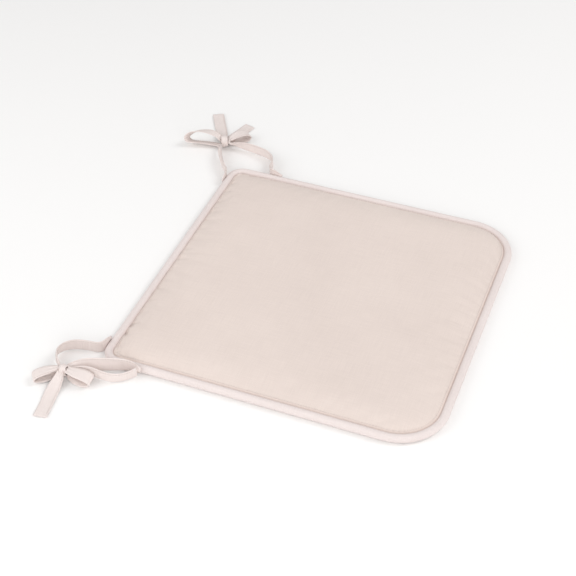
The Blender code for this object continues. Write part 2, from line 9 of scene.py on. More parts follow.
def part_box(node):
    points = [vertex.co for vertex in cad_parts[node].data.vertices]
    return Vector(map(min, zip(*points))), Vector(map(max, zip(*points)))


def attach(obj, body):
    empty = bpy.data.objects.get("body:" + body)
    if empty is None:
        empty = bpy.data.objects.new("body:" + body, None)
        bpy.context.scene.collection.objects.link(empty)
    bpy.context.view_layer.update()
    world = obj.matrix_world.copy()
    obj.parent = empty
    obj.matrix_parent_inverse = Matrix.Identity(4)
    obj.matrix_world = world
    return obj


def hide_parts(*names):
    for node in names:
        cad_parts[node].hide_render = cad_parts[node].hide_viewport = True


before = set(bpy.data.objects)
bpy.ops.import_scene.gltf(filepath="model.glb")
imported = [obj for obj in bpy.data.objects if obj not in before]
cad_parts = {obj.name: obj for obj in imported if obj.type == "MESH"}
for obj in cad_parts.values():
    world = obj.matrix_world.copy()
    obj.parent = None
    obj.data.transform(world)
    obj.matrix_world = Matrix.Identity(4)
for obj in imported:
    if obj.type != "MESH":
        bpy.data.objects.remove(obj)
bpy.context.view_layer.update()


# ==== Studio ====
# The cushion lies on a pale matt floor under three large soft boxes and an even sky. The camera looks
# down across its left side, as someone does who stands beside the chair.
CAMERA_TARGET = Vector((-0.0014, 0.0430, 0.0))
CAMERA_DISTANCE = 1.5444
CAMERA_AZIMUTH = math.radians(-69.03)
CAMERA_ELEVATION = math.radians(41.36)
CAMERA_LENS = 78.8
FLOOR_DROP = 0.0004
FLOOR_SIZE = 12.0
FLOOR_PATCH = 4.0  # of slightly different white


def srgb(code):
    """Linear colour from an sRGB hex value."""
    channels = [int(code[i : i + 2], 16) / 255 for i in (1, 3, 5)]
    return (*[c / 12.92 if c <= 0.04045 else ((c + 0.055) / 1.055) ** 2.4 for c in channels], 1.0)


def add_node(material, kind, settings=None, links=None):
    """Adds a node, sets its properties and inputs from settings, and links outputs to its inputs."""
    node = material.node_tree.nodes.new("ShaderNode" + kind)
    for key, value in (settings or {}).items():
        if isinstance(key, str) and hasattr(node, key):
            setattr(node, key, value)
        else:
            node.inputs[key].default_value = value
    for key, output in (links or {}).items():
        material.node_tree.links.new(output, node.inputs[key])
    return node


def start_material(name, settings):
    """A material and its Principled shader, with the shader's own sockets set."""
    material = bpy.data.materials.new(name)
    material.use_nodes = True
    shader = material.node_tree.nodes["Principled BSDF"]
    for key, value in settings.items():
        shader.inputs[key].default_value = value
    return material, shader


def connect(material, output, shader, key):
    """Links a node's output to one of the shader's sockets."""
    material.node_tree.links.new(output, shader.inputs[key])


def tint_and_raise(material, shader, low, high, tone, relief=None):
    """Blends two sRGB colours by one pattern, and raises the surface by another: strength, depth, height."""
    tint = add_node(material, "Mix", {"data_type": "RGBA", 6: srgb(low), 7: srgb(high)}, {0: tone})
    connect(material, tint.outputs[2], shader, "Base Color")
    if relief:
        strength, depth, height = relief
        bump = add_node(material, "Bump", {"Strength": strength, "Distance": depth}, {"Height": height})
        connect(material, bump.outputs["Normal"], shader, "Normal")


def mesh_from(name, points, faces):
    """A mesh of plain numbers from points and faces."""
    mesh = bpy.data.meshes.new(name)
    mesh.from_pydata([tuple(map(float, p)) for p in points], [], [tuple(map(int, f)) for f in faces])
    mesh.update()
    return mesh


def show(name, mesh, material):
    """A new object from a mesh, shaded smooth, with its material."""
    item = bpy.data.objects.new(name, mesh)
    mesh.materials.append(material)
    mesh.shade_smooth()
    bpy.context.scene.collection.objects.link(item)
    return item


camera_back = Vector(
    (
        math.sin(CAMERA_AZIMUTH) * math.cos(CAMERA_ELEVATION),
        -math.cos(CAMERA_AZIMUTH) * math.cos(CAMERA_ELEVATION),
        math.sin(CAMERA_ELEVATION),
    )
)
camera = bpy.data.objects.new("camera", bpy.data.cameras.new("camera"))
camera.data.lens = CAMERA_LENS
camera.location = CAMERA_TARGET + camera_back * CAMERA_DISTANCE
camera.rotation_mode = "QUATERNION"
camera.rotation_quaternion = (-camera_back).to_track_quat("-Z", "Y")
bpy.context.scene.collection.objects.link(camera)
bpy.context.scene.camera = camera

# Studio floor paint: matt, so that it only takes the cushion's soft shadow.
floor_paint, floor_shader = start_material("matt_floor_paint", {"Roughness": 0.9, "Specular IOR Level": 0.2})
floor_tone = add_node(floor_paint, "TexNoise", {"Scale": FLOOR_SIZE / FLOOR_PATCH, "Detail": 2.0})
tint_and_raise(floor_paint, floor_shader, "#F9F8F7", "#FCFBFA", floor_tone.outputs["Fac"])
half_floor = FLOOR_SIZE / 2
floor = show(
    "floor",
    mesh_from(
        "floor",
        [(x * half_floor, y * half_floor, -FLOOR_DROP) for x, y in ((-1, -1), (1, -1), (1, 1), (-1, 1))],
        [(0, 1, 2, 3)],
    ),
    floor_paint,
)

for lamp_name, lamp_place, lamp_size, lamp_watts in (
    ("key_soft_box", (0.9, -1.7, 2.1), 1.3, 22.0),
    ("side_soft_box", (-1.8, -0.9, 1.0), 1.6, 17.0),
    ("back_soft_box", (-1.0, 1.4, 1.2), 1.4, 12.0),
):
    lamp = bpy.data.objects.new(lamp_name, bpy.data.lights.new(lamp_name, "AREA"))
    lamp.data.energy = lamp_watts
    lamp.data.size = lamp_size
    lamp.location = lamp_place
    lamp.rotation_mode = "QUATERNION"
    lamp.rotation_quaternion = (-Vector(lamp_place)).to_track_quat("-Z", "Y")
    bpy.context.scene.collection.objects.link(lamp)

sky = bpy.data.worlds.new("even_sky")
sky.use_nodes = True
sky.node_tree.nodes["Background"].inputs["Color"].default_value = srgb("#FFFFFF")
sky.node_tree.nodes["Background"].inputs["Strength"].default_value = 0.585
bpy.context.scene.world = sky
bpy.context.scene.view_settings.view_transform = "Standard"


# ==== Piping ====
# A bias strip of the cover's cotton folded round a soft laid cotton cord, and sewn between the two
# panels as a round rim. It is cut across the weave, so its tension shows as faint slanting ripples.
PIPING_RADIUS = 0.005
PIPING_SPACING = 0.0016
PIPING_SIDES = 20
PIPING_EASE = 0.0001  # keeps the ripples inside the rim's size
LUMP_HEIGHT = 0.00014
LUMP_RATE = 60  # changes along a metre
RIPPLE_HEIGHT = 0.00011
RIPPLE_LENGTH = 0.0074
RIPPLE_RATE = 22  # changes of its strength along a metre
RIPPLE_SLANT = 1.6
HALF_WIDTH = (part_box("piping_sleeve")[1].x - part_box("piping_sleeve")[0].x) / 2
HALF_DEPTH = (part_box("piping_sleeve")[1].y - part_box("piping_sleeve")[0].y) / 2
FRONT_CORNER_RADIUS = 0.059
BACK_CORNER_RADIUS = 0.022
CORNER_RADIUS_MIN = 0.004
CORNER_POINTS = 40
THREAD_SPACING = 0.0006  # of the weave, whose real threads are finer: coarse enough to show
SLUB_LENGTH = 0.012
CLOTH_PATCH = 1 / 9  # of slightly different shade
BAND_PERIOD = 2 * math.pi / 20  # of a band texture at scale 1


def outline_points(inset, spacing):
    """Evenly spaced points on the outline moved in by inset, with outward directions and distances run."""
    half = np.array([HALF_WIDTH - inset, HALF_DEPTH - inset])
    dense = []
    for side_x, side_y, full_radius, start in (
        (1, -1, FRONT_CORNER_RADIUS, -90),
        (1, 1, BACK_CORNER_RADIUS, 0),
        (-1, 1, BACK_CORNER_RADIUS, 90),
        (-1, -1, FRONT_CORNER_RADIUS, 180),
    ):
        radius = max(full_radius - inset, CORNER_RADIUS_MIN)
        middle = np.array([side_x, side_y]) * (half - radius)
        for angle in np.radians(np.linspace(start, start + 90, CORNER_POINTS)):
            dense.append(middle + radius * np.array([math.cos(angle), math.sin(angle)]))
    dense = np.array(dense + dense[:1])
    run = np.concatenate([[0.0], np.cumsum(np.linalg.norm(np.diff(dense, axis=0), axis=1))])
    count = round(run[-1] / spacing)
    even = np.arange(count) * run[-1] / count
    points = np.stack([np.interp(even, run, dense[:, k]) for k in range(2)], axis=1)
    ahead = np.roll(points, -1, axis=0) - np.roll(points, 1, axis=0)
    ahead /= np.linalg.norm(ahead, axis=1)[:, None]
    outward = np.stack([ahead[:, 1], -ahead[:, 0]], axis=1)
    return points, outward, even


def add_pattern(material, kind, settings):
    """Adds a texture that lies in the object's own coordinates, so that its size is real."""
    place = add_node(material, "TexCoord")
    return add_node(material, kind, settings, {"Vector": place.outputs["Object"]})


def weave(material, spacing, seed):
    """The height of a plain weave and of its slubs: warp and weft cross over and under each other."""
    bands, slubs = [], []
    for direction in ("X", "Y"):
        across, along = 1 / spacing, 1 / SLUB_LENGTH
        scale = (across, along, along) if direction == "X" else (along, across, along)
        stretch = add_pattern(material, "Mapping", {"Location": (seed, seed, seed), "Scale": scale})
        slub = add_node(
            material, "TexNoise", {"Scale": 0.5, "Detail": 1.0}, {"Vector": stretch.outputs["Vector"]}
        )
        band = add_pattern(
            material,
            "TexWave",
            {"bands_direction": direction, "Scale": BAND_PERIOD / spacing, "Distortion": 0.6, "Detail": 0.0},
        )
        bands.append(band.outputs["Fac"])
        slubs.append(slub.outputs["Fac"])
    crossing = add_node(material, "Math", {"operation": "MAXIMUM"}, {0: bands[0], 1: bands[1]})
    unevenness = add_node(material, "Math", {"operation": "ADD"}, {0: slubs[0], 1: slubs[1]})
    return crossing.outputs[0], unevenness.outputs[0]


def cotton(name, low, high, spacing, seed):
    """Undyed cotton cloth: matt, with a faint fuzz that lightens its edges, and slightly uneven threads."""
    material, shader = start_material(
        name,
        {"Roughness": 0.88, "Specular IOR Level": 0.25, "Sheen Weight": 0.10, "Sheen Roughness": 0.5},
    )
    crossing, unevenness = weave(material, spacing, seed)
    cloud = add_pattern(material, "TexNoise", {"Scale": 1 / CLOTH_PATCH, "Detail": 3.0, "Roughness": 0.55})
    tone = add_node(material, "Math", {"operation": "MULTIPLY", 1: 0.45}, {0: cloud.outputs["Fac"]})
    for share, pattern in ((0.28, unevenness), (0.22, crossing)):
        tone = add_node(
            material, "Math", {"operation": "MULTIPLY_ADD", 1: share}, {0: pattern, 2: tone.outputs[0]}
        )
    height = add_node(material, "Math", {"operation": "MULTIPLY_ADD", 1: 0.5}, {0: unevenness, 2: crossing})
    tint_and_raise(material, shader, low, high, tone.outputs[0], (0.35, spacing / 3, height.outputs[0]))
    return material


def ring_faces(stations, sides, closed=True):
    """Faces of a tube whose stations each have the same number of points round them."""
    faces = []
    for station in range(stations if closed else stations - 1):
        here, there = station * sides, (station + 1) % stations * sides
        for side in range(sides):
            turn = (side + 1) % sides
            faces.append((here + side, there + side, there + turn, here + turn))
    return faces


# The bias strip's cotton: the panels' cloth in a slightly paler, pinker run, which sets the rim off.
piping_cotton = cotton("bias_cut_piping_cotton", "#D6C9C5", "#EFE4E1", THREAD_SPACING, 11.0)
pipe_points, pipe_outward, pipe_run = outline_points(PIPING_RADIUS, PIPING_SPACING)
pipe_surface = []
for place, outward, run in zip(pipe_points, pipe_outward, pipe_run):
    strength = 0.5 + 0.5 * noise.noise(Vector((run * RIPPLE_RATE, 4.0, 0.0)))
    for side in range(PIPING_SIDES):
        angle = 2 * math.pi * side / PIPING_SIDES
        lumps = LUMP_HEIGHT * noise.noise(Vector((run * LUMP_RATE, math.cos(angle), math.sin(angle))))
        wave = math.sin(2 * math.pi * run / RIPPLE_LENGTH + RIPPLE_SLANT * angle)
        ripple = RIPPLE_HEIGHT * strength * wave
        radius = PIPING_RADIUS - PIPING_EASE + lumps + ripple
        height = max(PIPING_RADIUS + radius * math.sin(angle), 0.0)
        pipe_surface.append((*(place + outward * radius * math.cos(angle)), height))
piping = show(
    "piping_rim",
    mesh_from("piping_rim", pipe_surface, ring_faces(len(pipe_points), PIPING_SIDES)),
    piping_cotton,
)
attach(piping, "cover")
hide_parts("piping_sleeve")

# The filler is laid cotton cord, hidden inside the strip: dull, with the slant of its strands.
STRAND_SPACING = 0.0025
STRAND_DEPTH = 0.0006
laid_cotton, laid_shader = start_material("laid_cotton_cord", {"Roughness": 0.95, "Specular IOR Level": 0.2})
laid_strands = add_pattern(
    laid_cotton,
    "TexWave",
    {"bands_direction": "DIAGONAL", "Scale": BAND_PERIOD / STRAND_SPACING, "Distortion": 1.5},
)
strand = laid_strands.outputs["Fac"]
tint_and_raise(laid_cotton, laid_shader, "#CFC8B8", "#EFEBE0", strand, (0.6, STRAND_DEPTH, strand))


def finish_node(name, material):
    """Gives a CAD node that keeps its own shape its material."""
    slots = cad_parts[name].data.materials
    slots.clear()
    slots.append(material)


finish_node("piping_filler_cord", laid_cotton)


# ==== Cover panels ====
# Two panels of cream plain-weave cotton, cut a little larger than the foam and sewn to the piping along
# its inner side. The seam draws the cloth in, so it swells over the foam with small gathers. The back of
# the lower panel is turned up in a hem beside the zip.
CLOTH_THICKNESS = 0.0007
STITCH_INSET = 0.0125  # of the seam, from the edge of the piping
HEM_GAP = 0.0006
HEM_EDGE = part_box("zip_slider")[0].y - HEM_GAP
HEM_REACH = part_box("zip_tape_front")[1].x + HEM_GAP
HEM_WIDTH = 0.0125
HEM_FADE = 0.016  # length over which the hem's rise ends, at each end of the zip
HEM_HEIGHT = 0.0036
HEM_LEVEL = 0.003  # the part of the hem that lies level beside the coils

RING_INSETS = [0.0086, 0.0094, 0.0102, 0.0112, 0.0121, 0.0129, 0.0140, 0.0156, 0.0178, 0.0206]
RING_INSETS += [HALF_DEPTH - HEM_EDGE, 0.0276, 0.0316]
RING_STEP = 0.004
while RING_INSETS[-1] < HALF_WIDTH - RING_STEP:
    RING_INSETS.append(RING_INSETS[-1] + RING_STEP)
RING_INSETS.append(HALF_WIDTH)

# Each panel's outer face: inset from the edge of the piping, and height.
TOP_PROFILE = (
    (0.0086, 0.0054),
    (0.0094, 0.0052),
    (0.0102, 0.0064),
    (0.0112, 0.0079),
    (0.0121, 0.0086),
    (0.0129, 0.0089),
    (0.0140, 0.0094),
    (0.0156, 0.0101),
    (0.0178, 0.0108),
    (0.0206, 0.0113),
    (0.0240, 0.0116),
    (0.0280, 0.0118),
    (0.0500, 0.0120),
)
BOTTOM_PROFILE = (
    (0.0086, 0.0042),
    (0.0094, 0.0034),
    (0.0102, 0.0026),
    (0.0121, 0.0014),
    (0.0129, 0.0012),
    (0.0156, 0.0004),
    (0.0190, 0.0001),
    (0.0500, 0.0),
)
NEEDLE_GROOVE = 0.00014  # depth of the line that the stitches press into the cloth
NEEDLE_GROOVE_WIDTH = 0.0007
FINE_PUCKER = 0.0072  # from one pucker to the next
LONG_PUCKER = 0.021
FINE_DEPTH = 0.00038
FINE_CORNER_DEPTH = 0.00030  # more in the corners
FINE_BACK_DEPTH = 0.00034  # and more along the back edge
LONG_DEPTH = 0.00150
FINE_REACH = 0.004  # inwards from the seam
FINE_REACH_CHANGE = 0.010
LONG_REACH = 0.009
BACK_START = 0.150  # y from which the puckers deepen towards the back
BACK_FADE = 0.030
CORNER_START = 0.300  # x and y together, from which they deepen towards a corner
CORNER_FADE = 0.040
GATHER_START = 0.0095  # inset at which the puckers start, just outside the stitches
GATHER_FADE = 0.003
GATHER_PEAK = 0.0132  # inset from which they fade out again
WANDER = 2.6  # how far the puckers' spacing wanders, in radians
WANDER_RATE = 18  # changes along a metre of seam, as in the next two
STRENGTH_RATE = 31
REACH_RATE = 45
SLACK_RIPPLE = 0.00040  # soft unevenness of the cloth over the foam
SLACK_RATE = 14  # changes in a metre of cloth
SLACK_START = 0.014
SLACK_FADE = 0.030
SMALL_RIPPLE = 0.00025
SMALL_RATE = 38
DIMPLES = ((-0.150, 0.0030), (-0.137, 0.0027))  # along the back seam: place and depth
DIMPLE_RADIUS = 0.0023
PRESSURE = 4.0
CUT_EASE = 0.006  # share by which the cloth is cut larger than the seam
SWELL_FRAMES = 20
SWELL_LIMIT = 0.0030
SWELL_FLOOR = 0.0015  # height of the point that closes the blown shape below


def height_at(profile, inset):
    """Height of a panel's outer face at a distance in from the edge."""
    return np.interp(inset, [p[0] for p in profile], [p[1] for p in profile])


def smooth_step(value):
    """An even rise from 0 to 1, flat outside that range."""
    value = min(max(value, 0.0), 1.0)
    return value * value * (3 - 2 * value)


def plan_grid(insets):
    """Points of a square grid whose outer rings follow the cushion's outline, its faces and its edge."""
    rings = len(insets) - 1
    places, index = [], {}
    for i in range(-rings, rings + 1):
        for j in range(-rings, rings + 1):
            ring = max(abs(i), abs(j))
            inset = insets[rings - ring]
            half = np.array([HALF_WIDTH - inset, HALF_DEPTH - inset])
            full_radius = FRONT_CORNER_RADIUS if j < 0 else BACK_CORNER_RADIUS
            radius = min(max(full_radius - inset, CORNER_RADIUS_MIN), max(half.min(), 0.0))
            place = half * np.array([i, j]) / max(ring, 1)
            core = np.clip(place, radius - half, half - radius)
            out = place - core
            reach = np.linalg.norm(out)
            if reach > 0:
                place = core + out * radius / reach
            index[i, j] = len(places)
            places.append((*place, inset))
    faces = []
    for i in range(-rings, rings):
        for j in range(-rings, rings):
            faces.append((index[i, j], index[i + 1, j], index[i + 1, j + 1], index[i, j + 1]))
    edge = [index[i, -rings] for i in range(-rings, rings)]
    edge += [index[rings, j] for j in range(-rings, rings)]
    edge += [index[i, rings] for i in range(rings, -rings, -1)]
    edge += [index[-rings, j] for j in range(rings, -rings, -1)]
    return np.array(places), faces, edge


seam_points, _, seam_run = outline_points(0.0, 0.001)
seam_finder = kdtree.KDTree(len(seam_points))
for number, point in enumerate(seam_points):
    seam_finder.insert((*point, 0.0), number)
seam_finder.balance()


def along_seam(x, y):
    """How far along the outline, and how far in from it, a point lies."""
    _, number, distance = seam_finder.find((x, y, 0.0))
    return seam_run[number], distance


def gathers(run, inset, x, y, seed):
    """Depth of the puckers that the seam draws in, which are deeper in the corners and along the back."""
    back = smooth_step((y - BACK_START) / BACK_FADE)
    corner = smooth_step((abs(x) + abs(y) - CORNER_START) / CORNER_FADE)
    start = smooth_step((inset - GATHER_START) / GATHER_FADE)
    wander = WANDER * noise.noise(Vector((run * WANDER_RATE, seed, 0.0)))
    strength = 0.80 + 0.7 * noise.noise(Vector((run * STRENGTH_RATE, seed + 7.0, 0.0)))
    fine = 0.5 + 0.5 * math.cos(2 * math.pi * run / FINE_PUCKER + wander)
    long = (0.5 + 0.5 * math.cos(2 * math.pi * run / LONG_PUCKER + wander)) ** 3
    change = abs(noise.noise(Vector((run * REACH_RATE, seed + 3.0, 0.0))))
    reach = FINE_REACH + FINE_REACH_CHANGE * change
    past = max(inset - GATHER_PEAK, 0.0)
    depth = FINE_DEPTH + FINE_CORNER_DEPTH * corner + FINE_BACK_DEPTH * back
    fine *= depth * math.exp(-((past / reach) ** 2))
    long *= LONG_DEPTH * back * math.exp(-((past / LONG_REACH) ** 2))
    return (fine + long) * strength * start


def swell(points, faces, pinned):
    """Blows the sewn cover up a little over its foam, and returns where its points go."""
    body = bpy.data.objects.new("swelling_cover", mesh_from("swelling_cover", points, faces))
    bpy.context.scene.collection.objects.link(body)
    body.vertex_groups.new(name="seam").add(pinned, 1.0, "REPLACE")
    cloth = body.modifiers.new("cloth", "CLOTH")
    cloth.settings.quality = 4
    cloth.settings.mass = 0.18
    cloth.settings.tension_stiffness = 12.0
    cloth.settings.compression_stiffness = 12.0
    cloth.settings.shear_stiffness = 6.0
    cloth.settings.bending_stiffness = 0.6
    cloth.settings.vertex_group_mass = "seam"
    cloth.settings.use_pressure = True
    cloth.settings.uniform_pressure_force = PRESSURE
    cloth.settings.shrink_min = -CUT_EASE
    cloth.settings.effector_weights.gravity = 0.0
    cloth.collision_settings.use_collision = False
    cloth.point_cache.frame_start = 1
    cloth.point_cache.frame_end = SWELL_FRAMES
    for step in range(1, SWELL_FRAMES + 1):
        bpy.context.scene.frame_set(step)
    swollen = body.evaluated_get(bpy.context.evaluated_depsgraph_get()).to_mesh()
    places = np.empty(len(swollen.vertices) * 3)
    swollen.vertices.foreach_get("co", places)
    bpy.context.scene.frame_set(1)
    bpy.data.objects.remove(body)
    return places.reshape(-1, 3)


def refine(mesh):
    """One step of subdivision, so that the cloth's small folds have points to follow."""
    item = bpy.data.objects.new("refine", mesh)
    bpy.context.scene.collection.objects.link(item)
    step = item.modifiers.new("refine", "SUBSURF")
    step.levels = 1
    step.render_levels = 1
    fine = bpy.data.meshes.new_from_object(item.evaluated_get(bpy.context.evaluated_depsgraph_get()))
    bpy.data.objects.remove(item)
    return fine


def hem_rise(x, y):
    """How far the lower panel rises to the zip along the back edge."""
    along = smooth_step((HEM_REACH - abs(x)) / HEM_FADE)
    return HEM_HEIGHT * along * smooth_step((y - HEM_EDGE + HEM_WIDTH) / (HEM_WIDTH - HEM_LEVEL))


def open_zip_mouth(mesh):
    """Cuts the lower panel away behind the hem, between the ends of the zip."""
    shape = bmesh.new()
    shape.from_mesh(mesh)
    everything = shape.verts[:] + shape.edges[:] + shape.faces[:]
    bmesh.ops.bisect_plane(shape, geom=everything, plane_co=(0, HEM_EDGE, 0), plane_no=(0, 1, 0))
    for side in (-1, 1):
        behind = [f for f in shape.faces if f.calc_center_median().y > HEM_EDGE]
        edges = {e for f in behind for e in f.edges}
        corners = {v for f in behind for v in f.verts}
        bmesh.ops.bisect_plane(
            shape,
            geom=behind + list(edges) + list(corners),
            plane_co=(side * HEM_REACH, 0, 0),
            plane_no=(1, 0, 0),
        )
    gone = []
    for face in shape.faces:
        middle = face.calc_center_median()
        if middle.y > HEM_EDGE and abs(middle.x) < HEM_REACH:
            gone.append(face)
    bmesh.ops.delete(shape, geom=gone, context="FACES")
    shape.to_mesh(mesh)
    shape.free()


plan, plan_faces, plan_edge = plan_grid(RING_INSETS)
top_points = np.column_stack([plan[:, :2], height_at(TOP_PROFILE, plan[:, 2])])
rise = np.zeros_like(top_points)
middle = len(top_points)
closing = [
    (plan_edge[i], middle, plan_edge[(i + 1) % len(plan_edge)]) for i in range(len(plan_edge))
]
pinned = [i for i in range(len(plan)) if plan[i, 2] <= STITCH_INSET] + [middle]
blown = swell(np.vstack([top_points, [[0.0, 0.0, SWELL_FLOOR]]]), plan_faces + closing, pinned)
rise = blown[:middle] - top_points
size = np.linalg.norm(rise, axis=1)
rise *= (np.tanh(size / SWELL_LIMIT) * SWELL_LIMIT / np.maximum(size, 1e-9))[:, None]

# The panels' cotton: a warm cream, whose threads and slubs keep the large face from looking flat.
cover_cotton = cotton("woven_cream_cotton", "#D2C3BC", "#EDDFD7", THREAD_SPACING, 3.0)
top_mesh = refine(mesh_from("cover_panel_top", top_points + rise, plan_faces))
for vertex in top_mesh.vertices:
    x, y = vertex.co.x, vertex.co.y
    run, inset = along_seam(x, y)
    groove = NEEDLE_GROOVE * math.exp(-(((inset - STITCH_INSET) / NEEDLE_GROOVE_WIDTH) ** 2))
    slack = smooth_step((inset - SLACK_START) / SLACK_FADE)
    ripple = SLACK_RIPPLE * noise.noise(Vector((x * SLACK_RATE, y * SLACK_RATE, 2.0)))
    ripple += SMALL_RIPPLE * noise.noise(Vector((x * SMALL_RATE, y * SMALL_RATE, 5.0)))
    vertex.co.z += slack * ripple - groove - gathers(run, inset, x, y, 1.0)
    for dimple_x, depth in DIMPLES:
        away = math.hypot(x - dimple_x, y - HALF_DEPTH + STITCH_INSET - DIMPLE_RADIUS / 2)
        vertex.co.z -= depth * math.exp(-((away / DIMPLE_RADIUS) ** 2))
top_panel = show("cover_panel_top", top_mesh, cover_cotton)

bottom_points = np.column_stack([plan[:, :2], height_at(BOTTOM_PROFILE, plan[:, 2])])
bottom_mesh = refine(mesh_from("cover_panel_bottom", bottom_points, [f[::-1] for f in plan_faces]))
open_zip_mouth(bottom_mesh)
for vertex in bottom_mesh.vertices:
    run, inset = along_seam(vertex.co.x, vertex.co.y)
    height = vertex.co.z + gathers(run, inset, vertex.co.x, 0.0, 9.0)
    vertex.co.z = max(height, hem_rise(vertex.co.x, vertex.co.y), 0.0)
bottom_panel = show("cover_panel_bottom", bottom_mesh, cover_cotton)

for panel, node in ((top_panel, "top_cover_panel"), (bottom_panel, "bottom_cover_panel")):
    thick = panel.modifiers.new("cloth_thickness", "SOLIDIFY")
    thick.thickness = CLOTH_THICKNESS
    thick.offset = -1.0
    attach(panel, "cover")
    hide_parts(node)


# ==== Seam and hem stitching ====
# A lockstitch in spun polyester holds the panels and the piping together, with its needle thread on top
# and its bobbin thread below. Each stitch dips into its needle holes, and a second row holds the hem.
STITCH_LENGTH = 0.0032
THREAD_RADIUS = 0.00030
THREAD_SIDES = 6
THREAD_TWIST = 0.0005
STITCH_MARGIN = 0.06  # share of the length left free at each needle hole
HEM_STITCH_INSET = 0.0022

# One stitch: share of its length, and height above the cloth.
STITCH_SHAPE = ((0.0, -0.0006), (0.12, 0.0), (0.35, 0.00022), (0.65, 0.00022), (0.88, 0.0), (1.0, -0.0006))

# Spun polyester thread: a soft shine, and the twist of its plies painted as pale and dark bands, painted
# highlights so that each stitch catches some light.
spun_polyester, thread_shader = start_material(
    "spun_polyester_thread", {"Roughness": 0.6, "Specular IOR Level": 0.4, "Sheen Weight": 0.1}
)
twist_painted_highlights = add_pattern(
    spun_polyester,
    "TexWave",
    {"bands_direction": "DIAGONAL", "Scale": BAND_PERIOD / THREAD_TWIST, "Distortion": 0.5},
)
tint_and_raise(spun_polyester, thread_shader, "#C9BCB6", "#E6DAD4", twist_painted_highlights.outputs["Fac"])


def face_outwards(mesh):
    """Turns every face of a closed mesh outwards."""
    shape = bmesh.new()
    shape.from_mesh(mesh)
    bmesh.ops.recalc_face_normals(shape, faces=shape.faces[:])
    shape.to_mesh(mesh)
    shape.free()
    return mesh


def bar_faces(stations, sides):
    """Faces of a tube with both its ends closed."""
    last = (stations - 1) * sides
    ends = [tuple(range(sides)), tuple(last + side for side in reversed(range(sides)))]
    return ring_faces(stations, sides, closed=False) + ends


def stitches(name, holes, ups):
    """A row of stitches through needle holes, each a short thread bowed up from the cloth."""
    points, faces = [], []
    one_stitch = bar_faces(len(STITCH_SHAPE), THREAD_SIDES)
    for start, end, up in zip(holes[:-1], holes[1:], ups[:-1]):
        start, end, up = np.array(start), np.array(end), np.array(up)
        ahead = (end - start) / max(np.linalg.norm(end - start), 1e-9)
        side = np.cross(ahead, up)
        side /= np.linalg.norm(side)
        first = len(points)
        for share, lift in STITCH_SHAPE:
            place = start + (end - start) * (STITCH_MARGIN + (1 - 2 * STITCH_MARGIN) * share) + up * lift
            for turn in range(THREAD_SIDES):
                angle = 2 * math.pi * turn / THREAD_SIDES
                points.append(place + THREAD_RADIUS * (side * math.cos(angle) + up * math.sin(angle)))
        faces += [tuple(first + corner for corner in face) for face in one_stitch]
    return show(name, face_outwards(mesh_from(name, points, faces)), spun_polyester)


hole_points = outline_points(STITCH_INSET, STITCH_LENGTH)[0]
for row, profile, node, up in (
    ("needle_stitches", TOP_PROFILE, "needle_thread", 1.0),
    ("bobbin_stitches", BOTTOM_PROFILE, "bobbin_thread", -1.0),
):
    holes = []
    for x, y in [*hole_points, hole_points[0]]:
        height = float(height_at(profile, STITCH_INSET))
        if node == "needle_thread":
            height -= NEEDLE_GROOVE + gathers(*along_seam(x, y), x, y, 1.0)
        elif y > HEM_EDGE and abs(x) < HEM_REACH:
            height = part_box("zip_tape_rear")[0].z
        holes.append((x, y, height + up * THREAD_RADIUS / 3))
    row_item = stitches(row, holes, [(0.0, 0.0, up)] * len(holes))
    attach(row_item, "cover")
    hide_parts(node)

hem_line = HEM_EDGE - HEM_STITCH_INSET
hem_holes = [
    (x, hem_line, hem_rise(x, hem_line) - THREAD_RADIUS / 3)
    for x in np.arange(-HEM_REACH + HEM_FADE, HEM_REACH - HEM_FADE, STITCH_LENGTH)
]
hem_row = stitches("zip_hem_stitches", hem_holes, [(0.0, 0.0, -1.0)] * len(hem_holes))
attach(hem_row, "cover")


# ==== Zip ====
# A nylon coil zip along the back edge of the underside. Each row is one filament, wound into a turn for
# every tooth and sewn along a woven tape, with metal stops clamped on past its ends.
COIL_PITCH = 0.00125
COIL_STATIONS = 12  # in each turn
FILAMENT_RADIUS = 0.00027
FILAMENT_SIDES = 6
ZIP_LINE = (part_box("zip_slider")[0].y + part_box("zip_slider")[1].y) / 2
CHANNEL = 0.00045  # from the zip's middle line to each coil, for the slider's post
STOP_EDGE = 0.0002
RIB_SPACING = 0.0008
NYLON_PATCH = 1 / 60
SCRATCHES_PER_METRE = (300.0, 4000.0, 1500.0)  # each about 3 mm long and 0.25 mm wide
SCRATCH_DEPTH = 0.0001

# Woven polyester zip tape: flat and even, with fine ribs along it and a slight shine.
zip_tape, zip_tape_shader = start_material(
    "woven_polyester_tape", {"Roughness": 0.7, "Specular IOR Level": 0.4, "Sheen Weight": 0.1}
)
ribs, picks = [
    add_pattern(
        zip_tape,
        "TexWave",
        {"bands_direction": direction, "Scale": BAND_PERIOD / spacing, "Distortion": 0.3},
    )
    for direction, spacing in (("Y", RIB_SPACING), ("X", RIB_SPACING / 2))
]
tape_height = add_node(
    zip_tape, "Math", {"operation": "MAXIMUM"}, {0: ribs.outputs["Fac"], 1: picks.outputs["Fac"]}
)
rib = tape_height.outputs[0]
tint_and_raise(zip_tape, zip_tape_shader, "#CDBFB6", "#E6D9D1", rib, (0.5, RIB_SPACING / 4, rib))
finish_node("zip_tape_front", zip_tape)
finish_node("zip_tape_rear", zip_tape)

# Nylon monofilament: smooth and a little see-through, so its colour shifts slightly along the coil.
nylon, nylon_shader = start_material(
    "nylon_monofilament",
    {"Roughness": 0.35, "IOR": 1.53, "Subsurface Weight": 0.15, "Subsurface Scale": 0.0006},
)
nylon_cloud = add_pattern(nylon, "TexNoise", {"Scale": 1 / NYLON_PATCH, "Detail": 2.0})
tint_and_raise(nylon, nylon_shader, "#D8CCC3", "#ECE3DC", nylon_cloud.outputs["Fac"])


